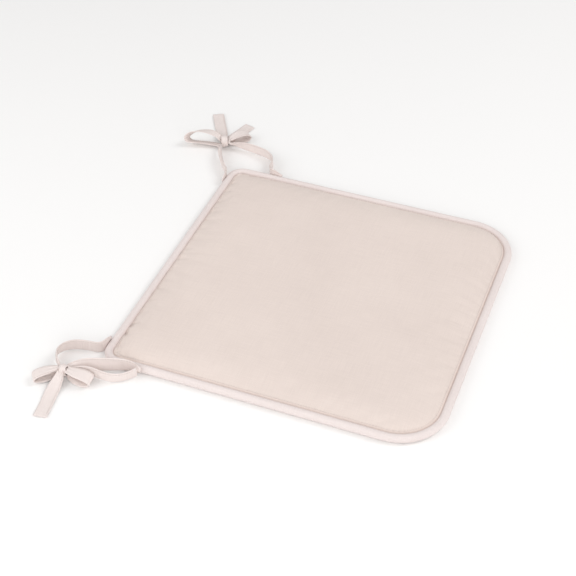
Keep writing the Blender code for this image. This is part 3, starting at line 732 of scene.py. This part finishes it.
def coil(node, near, far):
    """A filament wound along X in a node's box, between two edges in Y."""
    low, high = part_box(node)
    middle = np.array([0.0, (near + far) / 2, (low.z + high.z) / 2])
    half_width = (far - near) / 2 - FILAMENT_RADIUS
    half_height = (high.z - low.z) / 2 - FILAMENT_RADIUS
    start, run = low.x + FILAMENT_RADIUS, high.x - low.x - 2 * FILAMENT_RADIUS
    stations = round(run / COIL_PITCH) * COIL_STATIONS + 1
    turn = 2 * math.pi * (np.arange(stations) / COIL_STATIONS)
    line = np.zeros((stations, 3))
    line[:, 0] = start + run * np.arange(stations) / (stations - 1)
    line[:, 1] = half_width * np.cos(turn)
    line[:, 2] = half_height * np.sin(turn)
    line += middle
    ahead = np.gradient(line, axis=0)
    ahead /= np.linalg.norm(ahead, axis=1)[:, None]
    side = np.cross(ahead, np.array([1.0, 0.0, 0.0]))
    side /= np.linalg.norm(side, axis=1)[:, None]
    out = np.cross(side, ahead)
    points = []
    for station in range(stations):
        for corner in range(FILAMENT_SIDES):
            angle = 2 * math.pi * corner / FILAMENT_SIDES
            offset = side[station] * math.cos(angle) + out[station] * math.sin(angle)
            points.append(line[station] + FILAMENT_RADIUS * offset)
    return points, bar_faces(stations, FILAMENT_SIDES)


for coil_name, node, near, far in (
    ("zip_coil_wound_front", "zip_coil_front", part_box("zip_coil_front")[0].y, ZIP_LINE - CHANNEL),
    ("zip_coil_wound_rear", "zip_coil_rear", ZIP_LINE + CHANNEL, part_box("zip_coil_rear")[1].y),
):
    coil_mesh = face_outwards(mesh_from(coil_name, *coil(node, near, far)))
    wound = show(coil_name, coil_mesh, nylon)
    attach(wound, "cover")
    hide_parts(node)

# Nickel-plated brass: bright and smooth from the plating, with faint handling scratches.
nickel, nickel_shader = start_material(
    "nickel_plated_brass", {"Base Color": srgb("#CFCAC3"), "Metallic": 1.0, "Roughness": 0.28}
)
scratch_stretch = add_pattern(nickel, "Mapping", {"Scale": SCRATCHES_PER_METRE})
scratches = add_node(
    nickel, "TexNoise", {"Scale": 1.0, "Detail": 4.0}, {"Vector": scratch_stretch.outputs["Vector"]}
)
dulling = add_node(
    nickel, "Math", {"operation": "MULTIPLY_ADD", 1: 0.22, 2: 0.18}, {0: scratches.outputs["Fac"]}
)
scratch_bump = add_node(
    nickel, "Bump", {"Strength": 0.1, "Distance": SCRATCH_DEPTH}, {"Height": scratches.outputs["Fac"]}
)
connect(nickel, dulling.outputs[0], nickel_shader, "Roughness")
connect(nickel, scratch_bump.outputs["Normal"], nickel_shader, "Normal")

for node in ("zip_top_stop_front", "zip_top_stop_rear", "zip_bottom_stop"):
    finish_node(node, nickel)
    stamped_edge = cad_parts[node].modifiers.new("stamped_edge", "BEVEL")
    stamped_edge.width = STOP_EDGE
    stamped_edge.segments = 3


# ==== Slider and pull ====
# A die-cast slider: two shield-shaped plates on a post, with curled rims that lead the coils together.
# Its stamped pull hangs on a bail and swings over it. Both are plated.
PLATE_EDGE = 0.00012
RIM_THICKNESS = 0.00035
RIM_HIGH = 0.0040
BAIL_WIDTH = 0.0012
BAIL_BAR = 0.0006
BAIL_REACH = 0.0022
BAIL_BEND = 0.0008
BEND_STEPS = 9
BAR_SIDES = 12
BAR_SQUARENESS = 0.6
CORNER_STEPS = 7
WELD_DISTANCE = 0.000002
PULL_EDGE = 0.00010
PULL_TAPER = 0.92
slider_low, slider_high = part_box("zip_slider")
pull_low, pull_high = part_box("zip_pull_tab")
SLIDER_X = (slider_low.x + slider_high.x) / 2
SLIDER_HALF_LENGTH = (slider_high.x - slider_low.x) / 2
SLIDER_HALF_WIDTH = (slider_high.y - slider_low.y) / 2
SLIDER_PLATE = 0.0005
LOWER_PLATE_LOW = 0.0023
LOWER_PLATE = (LOWER_PLATE_LOW, LOWER_PLATE_LOW + SLIDER_PLATE)
UPPER_PLATE = (slider_high.z - SLIDER_PLATE, slider_high.z)

# Half of the shield's outline, from the nose at -X to the tail: x, y and share of the corner radius.
SHIELD = (
    (-1.0, 0.30, 0.5),
    (-0.72, 0.97, 1.0),
    (-0.25, 1.0, 1.0),
    (0.35, 0.84, 1.0),
    (0.88, 0.78, 1.0),
    (1.0, 0.5, 0.5),
)
SHIELD_CORNER = 0.0006
POST = (
    (-0.0040, 0.0, 0.5),
    (-0.0030, 0.0004, 1.0),
    (-0.0015, 0.0002, 1.0),
    (-0.0015, -0.0002, 1.0),
    (-0.0030, -0.0004, 1.0),
)
POST_CORNER = 0.0002
EYE = (0.0004, 0.0031, 0.0012)  # of the pull: start, end and half width
EYE_CORNER = 0.0004
GRIP = (0.0095, 0.0165, 0.0006)  # the slot that fingers feel


def rounded(corners, radius):
    """An outline with its corners rounded, each by its share of the radius."""
    points = []
    for i, (x, y, share) in enumerate(corners):
        corner = np.array([x, y])
        reach = radius * share
        before = np.array(corners[i - 1][:2]) - corner
        after = np.array(corners[(i + 1) % len(corners)][:2]) - corner
        start = corner + before / np.linalg.norm(before) * reach
        end = corner + after / np.linalg.norm(after) * reach
        for step in np.linspace(0.0, 1.0, CORNER_STEPS):
            points.append((1 - step) ** 2 * start + 2 * step * (1 - step) * corner + step**2 * end)
    return points


def slot_outline(start, end, half, radius):
    """The outline of a round-cornered slot along X."""
    return rounded([(start, -half, 1.0), (start, half, 1.0), (end, half, 1.0), (end, -half, 1.0)], radius)


def stamped(name, outlines, low, high, edge):
    """A flat plate from outlines, the first its outside and the rest holes, with softened edges."""
    curve = bpy.data.curves.new(name, "CURVE")
    curve.dimensions = "2D"
    curve.fill_mode = "BOTH"
    curve.extrude = (high - low) / 2 - edge
    curve.bevel_depth = edge
    curve.bevel_resolution = 2
    curve.offset = -edge
    for outline in outlines:
        spline = curve.splines.new("POLY")
        spline.points.add(len(outline) - 1)
        for point, place in zip(spline.points, outline):
            point.co = (place[0], place[1], 0.0, 1.0)
        spline.use_cyclic_u = True
    item = bpy.data.objects.new(name, curve)
    bpy.context.scene.collection.objects.link(item)
    mesh = bpy.data.meshes.new_from_object(item.evaluated_get(bpy.context.evaluated_depsgraph_get()))
    bpy.data.objects.remove(item)
    for vertex in mesh.vertices:
        vertex.co.z += (low + high) / 2
    return mesh


def swept_bar(name, line, width, height):
    """A rounded bar that follows points in the XZ plane, its width along Y."""
    line = np.array(line)
    ahead = np.gradient(line, axis=0)
    ahead /= np.linalg.norm(ahead, axis=1)[:, None]
    points = []
    for (x, z), (run_x, run_z) in zip(line, ahead):
        for corner in range(BAR_SIDES):
            angle = 2 * math.pi * corner / BAR_SIDES
            out = height / 2 * math.copysign(abs(math.sin(angle)) ** BAR_SQUARENESS, math.sin(angle))
            across = width / 2 * math.copysign(abs(math.cos(angle)) ** BAR_SQUARENESS, math.cos(angle))
            points.append((x - run_z * out, across, z + run_x * out))
    return mesh_from(name, points, bar_faces(len(line), BAR_SIDES))


def assemble(name, meshes, x, y):
    """One closed mesh from several, welded, facing out, and moved to its place."""
    shape = bmesh.new()
    for mesh in meshes:
        shape.from_mesh(mesh)
    bmesh.ops.remove_doubles(shape, verts=shape.verts[:], dist=WELD_DISTANCE)
    bmesh.ops.recalc_face_normals(shape, faces=shape.faces[:])
    bmesh.ops.translate(shape, verts=shape.verts[:], vec=(x, y, 0.0))
    mesh = bpy.data.meshes.new(name)
    shape.to_mesh(mesh)
    shape.free()
    return mesh


shield = [(x * SLIDER_HALF_LENGTH, y * SLIDER_HALF_WIDTH, share) for x, y, share in SHIELD]
shield_outline = rounded(shield + [(x, -y, share) for x, y, share in reversed(shield)], SHIELD_CORNER)
slider_meshes = [
    stamped("lower_plate", [shield_outline], *LOWER_PLATE, PLATE_EDGE),
    stamped("upper_plate", [shield_outline], *UPPER_PLATE, PLATE_EDGE),
]
rim_low = LOWER_PLATE[1] - PLATE_EDGE * 2
for side in (-1, 1):
    rim = [(x, side * y) for x, y, share in shield[1:5]]
    inner = [(x, y - side * RIM_THICKNESS) for x, y in reversed(rim)]
    rim_outline = rounded([(*place, 1.0) for place in rim + inner], RIM_THICKNESS / 3)
    slider_meshes.append(stamped("rim", [rim_outline], rim_low, RIM_HIGH, PLATE_EDGE / 2))
post_low, post_high = LOWER_PLATE[1] - PLATE_EDGE, UPPER_PLATE[0] + PLATE_EDGE
slider_meshes.append(stamped("post", [rounded(POST, POST_CORNER)], post_low, post_high, PLATE_EDGE / 3))
bar_middle = slider_low.z + BAIL_BAR / 2
bail_line = [(-BAIL_REACH, LOWER_PLATE[0] + PLATE_EDGE)]
for angle in np.linspace(0.0, math.pi / 2, BEND_STEPS):
    bend_x = BAIL_BEND * (1 - math.cos(angle)) - BAIL_REACH
    bail_line.append((bend_x, bar_middle + BAIL_BEND * (1 - math.sin(angle))))
bail_line += [(-x, z) for x, z in reversed(bail_line)]
slider_meshes.append(swept_bar("bail", bail_line, BAIL_WIDTH, BAIL_BAR))
slider = show("zip_slider_cast", assemble("zip_slider_cast", slider_meshes, SLIDER_X, ZIP_LINE), nickel)
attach(slider, "slider")
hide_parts("zip_slider")

pull_half_width = (pull_high.y - pull_low.y) / 2
pull_start, pull_end = pull_low.x - SLIDER_X, pull_high.x - SLIDER_X
tab_outline = rounded(
    [
        (pull_start, -pull_half_width, 0.25),
        (pull_end, -pull_half_width * PULL_TAPER, 1.0),
        (pull_end, pull_half_width * PULL_TAPER, 1.0),
        (pull_start, pull_half_width, 0.25),
    ],
    pull_half_width * 0.9,
)
pull_outlines = [tab_outline, slot_outline(*EYE, EYE_CORNER), slot_outline(*GRIP, GRIP[2])]
pull_mesh = stamped("zip_pull_stamped", pull_outlines, pull_low.z, pull_high.z, PULL_EDGE)
pull = show("zip_pull_stamped", assemble("zip_pull_stamped", [pull_mesh], SLIDER_X, ZIP_LINE), nickel)
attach(pull, "pull")
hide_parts("zip_pull_tab")


# ==== Foam core ====
# A sheet of open-cell polyurethane foam, cut to the cover's shape and laid in through the zip. Its cut
# faces show the open cells, and its back edge is cut away above the zip.
FOAM_CELL = 0.0009
FOAM_CLEARANCE = 0.0018  # under the upper panel's outer face
FOAM_SEAM_CLEARANCE = 0.0014  # more of it beside the seam, whose puckers are deep
FOAM_SEAM_REACH = 0.040
FOAM_SEAM_FADE = 0.016
FOAM_FLOOR = 0.0013  # above the lower panel's outer face
FOAM_EDGE = 0.0148
FOAM_STEP = 0.0003  # half the width of the cut's slope
FOAM_RING = 0.008
FOAM_SHARP_ANGLE = math.radians(40)
GROOVE_DEPTH = HALF_DEPTH - HEM_EDGE + HEM_WIDTH + HEM_GAP
GROOVE_REACH = HEM_REACH + HEM_FADE
GROOVE_HEIGHT = 0.0064

# Polyurethane foam: matt and pale yellow, with painted shade that darkens each open cell.
foam, foam_shader = start_material("open_cell_foam", {"Roughness": 0.95, "Specular IOR Level": 0.2})
foam_cells = add_pattern(foam, "TexVoronoi", {"Scale": 1 / FOAM_CELL})
cell = foam_cells.outputs["Distance"]
tint_and_raise(foam, foam_shader, "#D9CBA4", "#F1E8CD", cell, (0.8, FOAM_CELL / 2, cell))

groove_side = HALF_WIDTH - GROOVE_REACH
foam_insets = [FOAM_EDGE, 0.0165, groove_side - FOAM_STEP, groove_side + FOAM_STEP]
foam_insets += [0.0220, 0.0290, GROOVE_DEPTH - FOAM_STEP, GROOVE_DEPTH + FOAM_STEP, 0.0450]
while foam_insets[-1] < HALF_WIDTH - 1.5 * FOAM_RING:
    foam_insets.append(foam_insets[-1] + FOAM_RING)
foam_insets.append(HALF_WIDTH)
foam_plan, foam_faces, foam_edge = plan_grid(foam_insets)
foam_top, foam_bottom = [], []
for x, y, inset in foam_plan:
    beside = FOAM_SEAM_CLEARANCE * smooth_step((FOAM_SEAM_REACH - inset) / FOAM_SEAM_FADE)
    foam_top.append((x, y, height_at(TOP_PROFILE, inset) - FOAM_CLEARANCE - beside))
    floor_height = height_at(BOTTOM_PROFILE, inset) + FOAM_FLOOR
    if y > HALF_DEPTH - GROOVE_DEPTH and abs(x) < GROOVE_REACH:
        floor_height = GROOVE_HEIGHT
    foam_bottom.append((x, y, floor_height))
layer = len(foam_plan)
foam_walls = []
for i, corner in enumerate(foam_edge):
    following = foam_edge[(i + 1) % len(foam_edge)]
    foam_walls.append((corner, corner + layer, following + layer, following))
foam_underside = [tuple(layer + corner for corner in reversed(face)) for face in foam_faces]
foam_mesh = face_outwards(
    mesh_from("foam_sheet", foam_top + foam_bottom, foam_faces + foam_underside + foam_walls)
)
foam_core = show("foam_sheet", foam_mesh, foam)
foam_mesh.set_sharp_from_angle(angle=FOAM_SHARP_ANGLE)
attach(foam_core, "cover")
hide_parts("foam_core")


# ==== Ties ====
# Four flat tapes of the cover's cotton, folded with their raw edges inside and stitched along one edge.
# Each pair goes round the chair's post and is tied in a bow, and the tapes crumple where the knot holds.
TIE_THICKNESS = 0.0012
TIE_SPACING = 0.0015
TIE_SIDES = 11  # points across one face of the tape
TIE_WIDTH = 0.016
TIE_FOLD = 0.12  # share by which a tape is thicker along its folded edges
TIE_FOLD_START = 0.62  # share of the half width
TIE_FOLD_SLOPE = 0.2
TIE_EDGE_POWER = 9  # the higher, the squarer the tape's edges
TIE_EDGE_LEAST = 0.04
KNOT_FOLD = 0.0016  # depth of a tape's fold where the knot draws it in
KNOT_WAVES = 2.6  # of the fold, across the tape
TAPE_CURL = 0.0007
CURL_RATE = 25  # changes along a metre
TAPE_WRINKLE = 0.0003
WRINKLE_RATE = 70
CURVE_STEPS = 20  # between two points of a route
CURVE_SMOOTHINGS = 3
EDGE_STITCH_SHARE = 0.78  # of the half width
EDGE_STITCH_START = 4  # in steps of the tape, as is the next
EDGE_STITCH_STEP = 2
SEWN_LENGTH = 0.014  # where a tape's end is drawn in and sewn to the piping
SEWN_DIP = 0.0028
SEWN_NARROWING = 0.38
BARTACK_STRANDS = 34
TURN_STATIONS = 40
TURN_SHARES = 9
TURN_SLIP = 0.0009
TURN_CREASE = 0.00045
CREASE_WAVES = 5.5  # radians in half the width
CREASE_DRIFT = 1.2  # radians round the knot
TURN_CRUMPLE = 0.0006
TURN_BULGE = 0.0011
TURN_FLOOR = 0.0002

# Each route: x, y and z of the tape's middle, heading and rise of its width in degrees, and its width.
LEFT_INNER_ROUTE = [
    (-0.1640, 0.2009, 0.0083, 90, 90, 0.016),
    (-0.1750, 0.2009, 0.0083, 90, 90, 0.016),
    (-0.1812, 0.2026, 0.0083, 90, 90, 0.016),
    (-0.1850, 0.2075, 0.0083, 0, 90, 0.016),
    (-0.1866, 0.2200, 0.0083, 0, 90, 0.016),
    (-0.1900, 0.2330, 0.0083, 270, 86, 0.016),
    (-0.1970, 0.2430, 0.0084, 250, 82, 0.016),
    (-0.2070, 0.2475, 0.0086, 240, 76, 0.015),
    (-0.2170, 0.2440, 0.0090, 235, 66, 0.013),
    (-0.2250, 0.2365, 0.0085, 225, 45, 0.010),
    (-0.2310, 0.2325, 0.0050, 220, 15, 0.008),
    (-0.2370, 0.2360, 0.0028, 218, 0, 0.010),
    (-0.2435, 0.2430, 0.0018, 218, 0, 0.014),
    (-0.2500, 0.2510, 0.0024, 218, 0, 0.015),
    (-0.2535, 0.2552, 0.0062, 218, 0, 0.015),
    (-0.2500, 0.2512, 0.0106, 218, 0, 0.015),
    (-0.2430, 0.2430, 0.0122, 218, 0, 0.014),
    (-0.2365, 0.2360, 0.0118, 222, 0, 0.010),
    (-0.2330, 0.2305, 0.0112, 240, 0, 0.008),
    (-0.2385, 0.2270, 0.0100, 265, -8, 0.009),
    (-0.2460, 0.2262, 0.0072, 268, -12, 0.012),
    (-0.2550, 0.2262, 0.0038, 268, -10, 0.015),
    (-0.2660, 0.2255, 0.0018, 268, -4, 0.016),
    (-0.2790, 0.2235, 0.0011, 266, 0, 0.016),
    (-0.2990, 0.2205, 0.0011, 264, 0, 0.016),
]
LEFT_OUTER_ROUTE = [
    (-0.2009, 0.1450, 0.0108, 0, 90, 0.016),
    (-0.2009, 0.1560, 0.0110, 0, 90, 0.016),
    (-0.2024, 0.1635, 0.0118, 0, 84, 0.016),
    (-0.2058, 0.1730, 0.0122, 10, 76, 0.016),
    (-0.2100, 0.1850, 0.0118, 15, 72, 0.016),
    (-0.2140, 0.1970, 0.0110, 15, 70, 0.016),
    (-0.2180, 0.2080, 0.0102, 20, 66, 0.015),
    (-0.2225, 0.2165, 0.0094, 25, 55, 0.012),
    (-0.2280, 0.2225, 0.0100, 15, 25, 0.008),
    (-0.2330, 0.2210, 0.0120, 0, 4, 0.009),
    (-0.2348, 0.2140, 0.0134, 0, 0, 0.013),
    (-0.2352, 0.2050, 0.0136, 0, 2, 0.016),
    (-0.2350, 0.1950, 0.0116, 0, 6, 0.016),
    (-0.2345, 0.1898, 0.0068, 0, 8, 0.016),
    (-0.2352, 0.1950, 0.0026, 0, 4, 0.016),
    (-0.2356, 0.2050, 0.0018, 0, 0, 0.015),
    (-0.2350, 0.2140, 0.0024, 0, 2, 0.011),
    (-0.2310, 0.2205, 0.0040, 0, 20, 0.008),
    (-0.2262, 0.2150, 0.0062, 0, 60, 0.009),
    (-0.2238, 0.2040, 0.0078, 0, 84, 0.013),
    (-0.2235, 0.1930, 0.0083, 0, 90, 0.015),
    (-0.2242, 0.1820, 0.0083, 180, 88, 0.015),
    (-0.2240, 0.1710, 0.0083, 180, 84, 0.015),
    (-0.2200, 0.1610, 0.0083, 210, 80, 0.015),
    (-0.2130, 0.1535, 0.0083, 235, 82, 0.015),
    (-0.2052, 0.1480, 0.0083, 235, 86, 0.015),
]
RIGHT_INNER_ROUTE = [
    (0.1640, 0.2009, 0.0083, 90, 90, 0.016),
    (0.1750, 0.2009, 0.0083, 90, 90, 0.016),
    (0.1810, 0.2026, 0.0083, 90, 90, 0.016),
    (0.1868, 0.2068, 0.0083, 90, 90, 0.016),
    (0.1960, 0.2140, 0.0083, 90, 88, 0.016),
    (0.2080, 0.2215, 0.0083, 300, 86, 0.016),
    (0.2200, 0.2282, 0.0086, 300, 78, 0.015),
    (0.2310, 0.2335, 0.0088, 310, 60, 0.012),
    (0.2395, 0.2365, 0.0062, 325, 25, 0.008),
    (0.2432, 0.2430, 0.0036, 340, -10, 0.010),
    (0.2420, 0.2540, 0.0042, 345, -18, 0.014),
    (0.2390, 0.2670, 0.0046, 345, -22, 0.015),
    (0.2360, 0.2790, 0.0056, 345, -24, 0.015),
    (0.2348, 0.2850, 0.0110, 345, -24, 0.015),
    (0.2376, 0.2800, 0.0180, 345, -24, 0.015),
    (0.2425, 0.2680, 0.0208, 345, -20, 0.015),
    (0.2465, 0.2550, 0.0200, 345, -14, 0.014),
    (0.2480, 0.2440, 0.0164, 340, -6, 0.010),
    (0.2462, 0.2368, 0.0122, 330, 0, 0.008),
    (0.2535, 0.2375, 0.0104, 300, -4, 0.010),
    (0.2620, 0.2418, 0.0068, 298, -8, 0.013),
    (0.2720, 0.2475, 0.0030, 298, -6, 0.015),
    (0.2840, 0.2545, 0.0012, 298, 0, 0.016),
    (0.2990, 0.2630, 0.0011, 298, 0, 0.016),
    (0.3170, 0.2730, 0.0011, 298, 0, 0.016),
]
RIGHT_OUTER_ROUTE = [
    (0.2009, 0.1290, 0.0083, 180, 90, 0.016),
    (0.2009, 0.1400, 0.0083, 180, 90, 0.016),
    (0.2026, 0.1462, 0.0083, 180, 90, 0.016),
    (0.2090, 0.1498, 0.0083, 180, 88, 0.016),
    (0.2210, 0.1510, 0.0083, 90, 86, 0.016),
    (0.2330, 0.1570, 0.0083, 150, 84, 0.016),
    (0.2410, 0.1690, 0.0083, 165, 82, 0.016),
    (0.2450, 0.1850, 0.0083, 180, 82, 0.016),
    (0.2468, 0.2010, 0.0084, 180, 78, 0.015),
    (0.2465, 0.2140, 0.0088, 180, 66, 0.012),
    (0.2442, 0.2225, 0.0090, 190, 35, 0.008),
    (0.2475, 0.2268, 0.0112, 215, 5, 0.008),
    (0.2552, 0.2238, 0.0130, 232, 0, 0.012),
    (0.2640, 0.2180, 0.0140, 230, 0, 0.015),
    (0.2730, 0.2115, 0.0122, 228, 0, 0.016),
    (0.2770, 0.2078, 0.0070, 228, 0, 0.016),
    (0.2726, 0.2116, 0.0024, 228, 0, 0.016),
    (0.2640, 0.2190, 0.0018, 230, 0, 0.014),
    (0.2555, 0.2240, 0.0026, 240, 0, 0.010),
    (0.2505, 0.2272, 0.0058, 260, 0, 0.008),
    (0.2580, 0.2305, 0.0056, 275, 0, 0.010),
    (0.2690, 0.2302, 0.0022, 262, 0, 0.014),
    (0.2800, 0.2272, 0.0012, 252, 0, 0.016),
    (0.2930, 0.2230, 0.0011, 250, 0, 0.016),
    (0.3060, 0.2190, 0.0011, 254, 0, 0.016),
]


def tape_curve(route, spacing):
    """Places and half-width vectors along a smooth curve through a route's points, evenly spaced."""
    values = []
    for x, y, z, heading, lift, width in route:
        heading, lift = math.radians(heading), math.radians(lift)
        level = math.cos(lift)
        side = np.array([level * math.cos(heading), level * math.sin(heading), math.sin(lift)])
        values.append(np.concatenate([[x, y, z], side * width / 2]))
    values = np.array(values)
    values = np.vstack([2 * values[0] - values[1], values, 2 * values[-1] - values[-2]])
    samples = []
    for i in range(1, len(values) - 2):
        before, start, end, after = values[i - 1 : i + 3]
        for share in np.linspace(0.0, 1.0, CURVE_STEPS, endpoint=False):
            square, cube = share**2, share**3
            samples.append(
                0.5
                * (
                    2 * start
                    + (end - before) * share
                    + (2 * before - 5 * start + 4 * end - after) * square
                    + (3 * start - before - 3 * end + after) * cube
                )
            )
    samples.append(values[-2])
    samples = np.array(samples)
    run = np.concatenate([[0.0], np.cumsum(np.linalg.norm(np.diff(samples[:, :3], axis=0), axis=1))])
    even = np.linspace(0.0, run[-1], round(run[-1] / spacing) + 1)
    curve = np.stack([np.interp(even, run, samples[:, k]) for k in range(6)], axis=1)
    for _ in range(CURVE_SMOOTHINGS):
        curve[1:-1] = (curve[:-2] + 2 * curve[1:-1] + curve[2:]) / 4
    return curve, even


def tape_frame(curve, i):
    """Place, half-width vector and face direction at one station of a tape."""
    place = curve[i, :3]
    ahead = curve[min(i + 1, len(curve) - 1), :3] - curve[max(i - 1, 0), :3]
    ahead = ahead / np.linalg.norm(ahead)
    width = np.linalg.norm(curve[i, 3:])
    half = curve[i, 3:] - np.dot(curve[i, 3:], ahead) * ahead
    half *= width / np.linalg.norm(half)
    face = np.cross(ahead, half)
    return place, half, face / np.linalg.norm(face)


def tape_offset(share, width, run, seed):
    """How far a point across the tape leaves its middle surface: gathered where the knot narrows it."""
    squeeze = max(0.0, 1 - 2 * width / TIE_WIDTH)
    fold = KNOT_FOLD * squeeze * math.cos(KNOT_WAVES * math.pi * share)
    curl = TAPE_CURL * (1 - squeeze) * share * share * noise.noise(Vector((run * CURL_RATE, seed, 1.0)))
    return fold + curl + TAPE_WRINKLE * noise.noise(Vector((run * WRINKLE_RATE, share * 1.5, seed)))


def sewn_end(curve, runs):
    """The curve of the tape itself, which dips and narrows where its end is sewn down."""
    drawn = curve.copy()
    for i, run in enumerate(runs):
        hold = 1 - smooth_step(run / SEWN_LENGTH)
        drawn[i, 2] -= SEWN_DIP * hold
        drawn[i, 3:] *= 1 - SEWN_NARROWING * hold
    return drawn


def tape_mesh(name, curve, runs, seed):
    """A closed tape along a curve, with thicker folded edges and flat cut ends."""
    points = []
    for i, run in enumerate(runs):
        place, half, face = tape_frame(curve, i)
        width = np.linalg.norm(half)
        for sign in (1, -1):
            for step in range(TIE_SIDES):
                share = (-1 + 2 * step / (TIE_SIDES - 1)) * sign
                hem = TIE_FOLD * min(max((abs(share) - TIE_FOLD_START) / TIE_FOLD_SLOPE, 0.0), 1.0)
                edge = math.sqrt(max(1 - abs(share) ** TIE_EDGE_POWER, TIE_EDGE_LEAST))
                thickness = TIE_THICKNESS / 2 * (1 + hem) * edge
                lift = tape_offset(share, width, run, seed) + sign * thickness
                points.append(place + half * share + face * lift)
    count = 2 * TIE_SIDES
    faces = ring_faces(len(runs), count, closed=False)
    last = (len(runs) - 1) * count
    for step in range(TIE_SIDES - 1):
        far = count - 1 - step
        faces.append((step, step + 1, far - 1, far))
        faces.append((last + far, last + far - 1, last + step + 1, last + step))
    return face_outwards(mesh_from(name, points, faces))


def tape_surface(curve, runs, i, share, sign, seed):
    """A point on one face of a tape, and that face's outward direction."""
    place, half, face = tape_frame(curve, i)
    lift = tape_offset(share, np.linalg.norm(half), runs[i], seed)
    lift += sign * TIE_THICKNESS / 2 * (1 + TIE_FOLD)
    return place + half * share + face * lift, face * sign


def knot_turn(name, middle, heading, radius, width, seed):
    """A closed turn of tape drawn tight round a knot, so that it bulges and crumples."""
    heading = math.radians(heading)
    axis = np.array([math.cos(heading), math.sin(heading), 0.0])
    level = np.array([-math.sin(heading), math.cos(heading), 0.0])
    up = np.array([0.0, 0.0, 1.0])
    shares = np.linspace(-1.0, 1.0, TURN_SHARES)
    points = []
    for station in range(TURN_STATIONS):
        angle = 2 * math.pi * station / TURN_STATIONS
        out = level * math.cos(angle) * radius[0] + up * math.sin(angle) * radius[1]
        length = np.linalg.norm(out)
        slip = TURN_SLIP * noise.noise(Vector((math.cos(angle) * 1.5, math.sin(angle) * 1.5, seed)))
        fade = min((TURN_STATIONS - station) / (TURN_STATIONS / 4), 1.0)
        for sign in (1, -1):
            for share in shares[::sign]:
                crease = TURN_CREASE * math.cos(CREASE_WAVES * share + CREASE_DRIFT * math.sin(angle + seed))
                crumple = TURN_CRUMPLE * fade * noise.noise(Vector((angle * 1.1, share * 1.6, seed)))
                bulge = TURN_BULGE * (1 - share * share)
                reach = length + bulge + crease + crumple + sign * TIE_THICKNESS / 2
                point = middle + out / length * reach + axis * (share * width / 2 + slip)
                points.append((point[0], point[1], max(point[2], TURN_FLOOR)))
    return face_outwards(mesh_from(name, points, ring_faces(TURN_STATIONS, 2 * TURN_SHARES)))


# The ties' cotton: the cover's cloth painted paler than the panels, as painted light that lifts the bows out
# of their own shadows.
tie_cotton_painted_light = cotton("folded_cotton_tape_painted_light", "#DACDC8", "#F2E7E3", THREAD_SPACING, 23.0)

# The turn round each knot: its middle, its axis's heading in degrees, its two radii and its width.
KNOTS = {
    "left_outer": ((-0.2318, 0.2270, 0.0076), 102, (0.0052, 0.0058), 0.0085),
    "right_outer": ((0.2466, 0.2335, 0.0096), 121, (0.0055, 0.0066), 0.0088),
}
for tie_name, route, length, seed in (
    ("left_inner", LEFT_INNER_ROUTE, 0.241, 1.0),
    ("left_outer", LEFT_OUTER_ROUTE, 0.241, 4.0),
    ("right_inner", RIGHT_INNER_ROUTE, 0.278, 7.0),
    ("right_outer", RIGHT_OUTER_ROUTE, 0.259, 12.0),
):
    middle_line, runs = tape_curve(route, TIE_SPACING)
    curve = sewn_end(middle_line, runs)
    tie = show("tie_tape_" + tie_name, tape_mesh("tie_tape_" + tie_name, curve, runs, seed), tie_cotton_painted_light)
    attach(tie, "cover")
    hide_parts("tie_" + tie_name)

    on_tie = []
    for row, sign in (("tie_edge_stitches_", 1), ("tie_back_stitches_", -1)):
        holes, ups = [], []
        for i in range(EDGE_STITCH_START, len(runs) - 2, EDGE_STITCH_STEP):
            place, out = tape_surface(curve, runs, i, EDGE_STITCH_SHARE, sign, seed)
            holes.append(place)
            ups.append(out)
        on_tie.append(stitches(row + tie_name, holes, ups))

    low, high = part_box("bartack_" + tie_name)
    along = 0 if high.x - low.x > high.y - low.y else 1
    through = 1 - along
    outward = np.zeros(3)
    outward[through] = math.copysign(1.0, low[through])
    holes = []
    for strand in range(BARTACK_STRANDS + 1):
        place = np.zeros(3)
        place[along] = low[along] + (high[along] - low[along]) * strand / BARTACK_STRANDS
        place[through] = (low[through] + high[through]) / 2
        place[2] = high.z if strand % 2 else low.z
        holes.append(place)
    bartack = stitches("bartack_stitches_" + tie_name, holes, [outward] * len(holes))
    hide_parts("bartack_" + tie_name)
    on_tie.append(bartack)
    for piece in on_tie:
        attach(piece, "cover")

    if tie_name in KNOTS:
        middle, heading, radius, width = KNOTS[tie_name]
        turn = knot_turn("knot_turn_" + tie_name, np.array(middle), heading, radius, width, seed)
        knot = show("knot_turn_" + tie_name, turn, tie_cotton_painted_light)
        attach(knot, "cover")
        on_tie.append(knot)
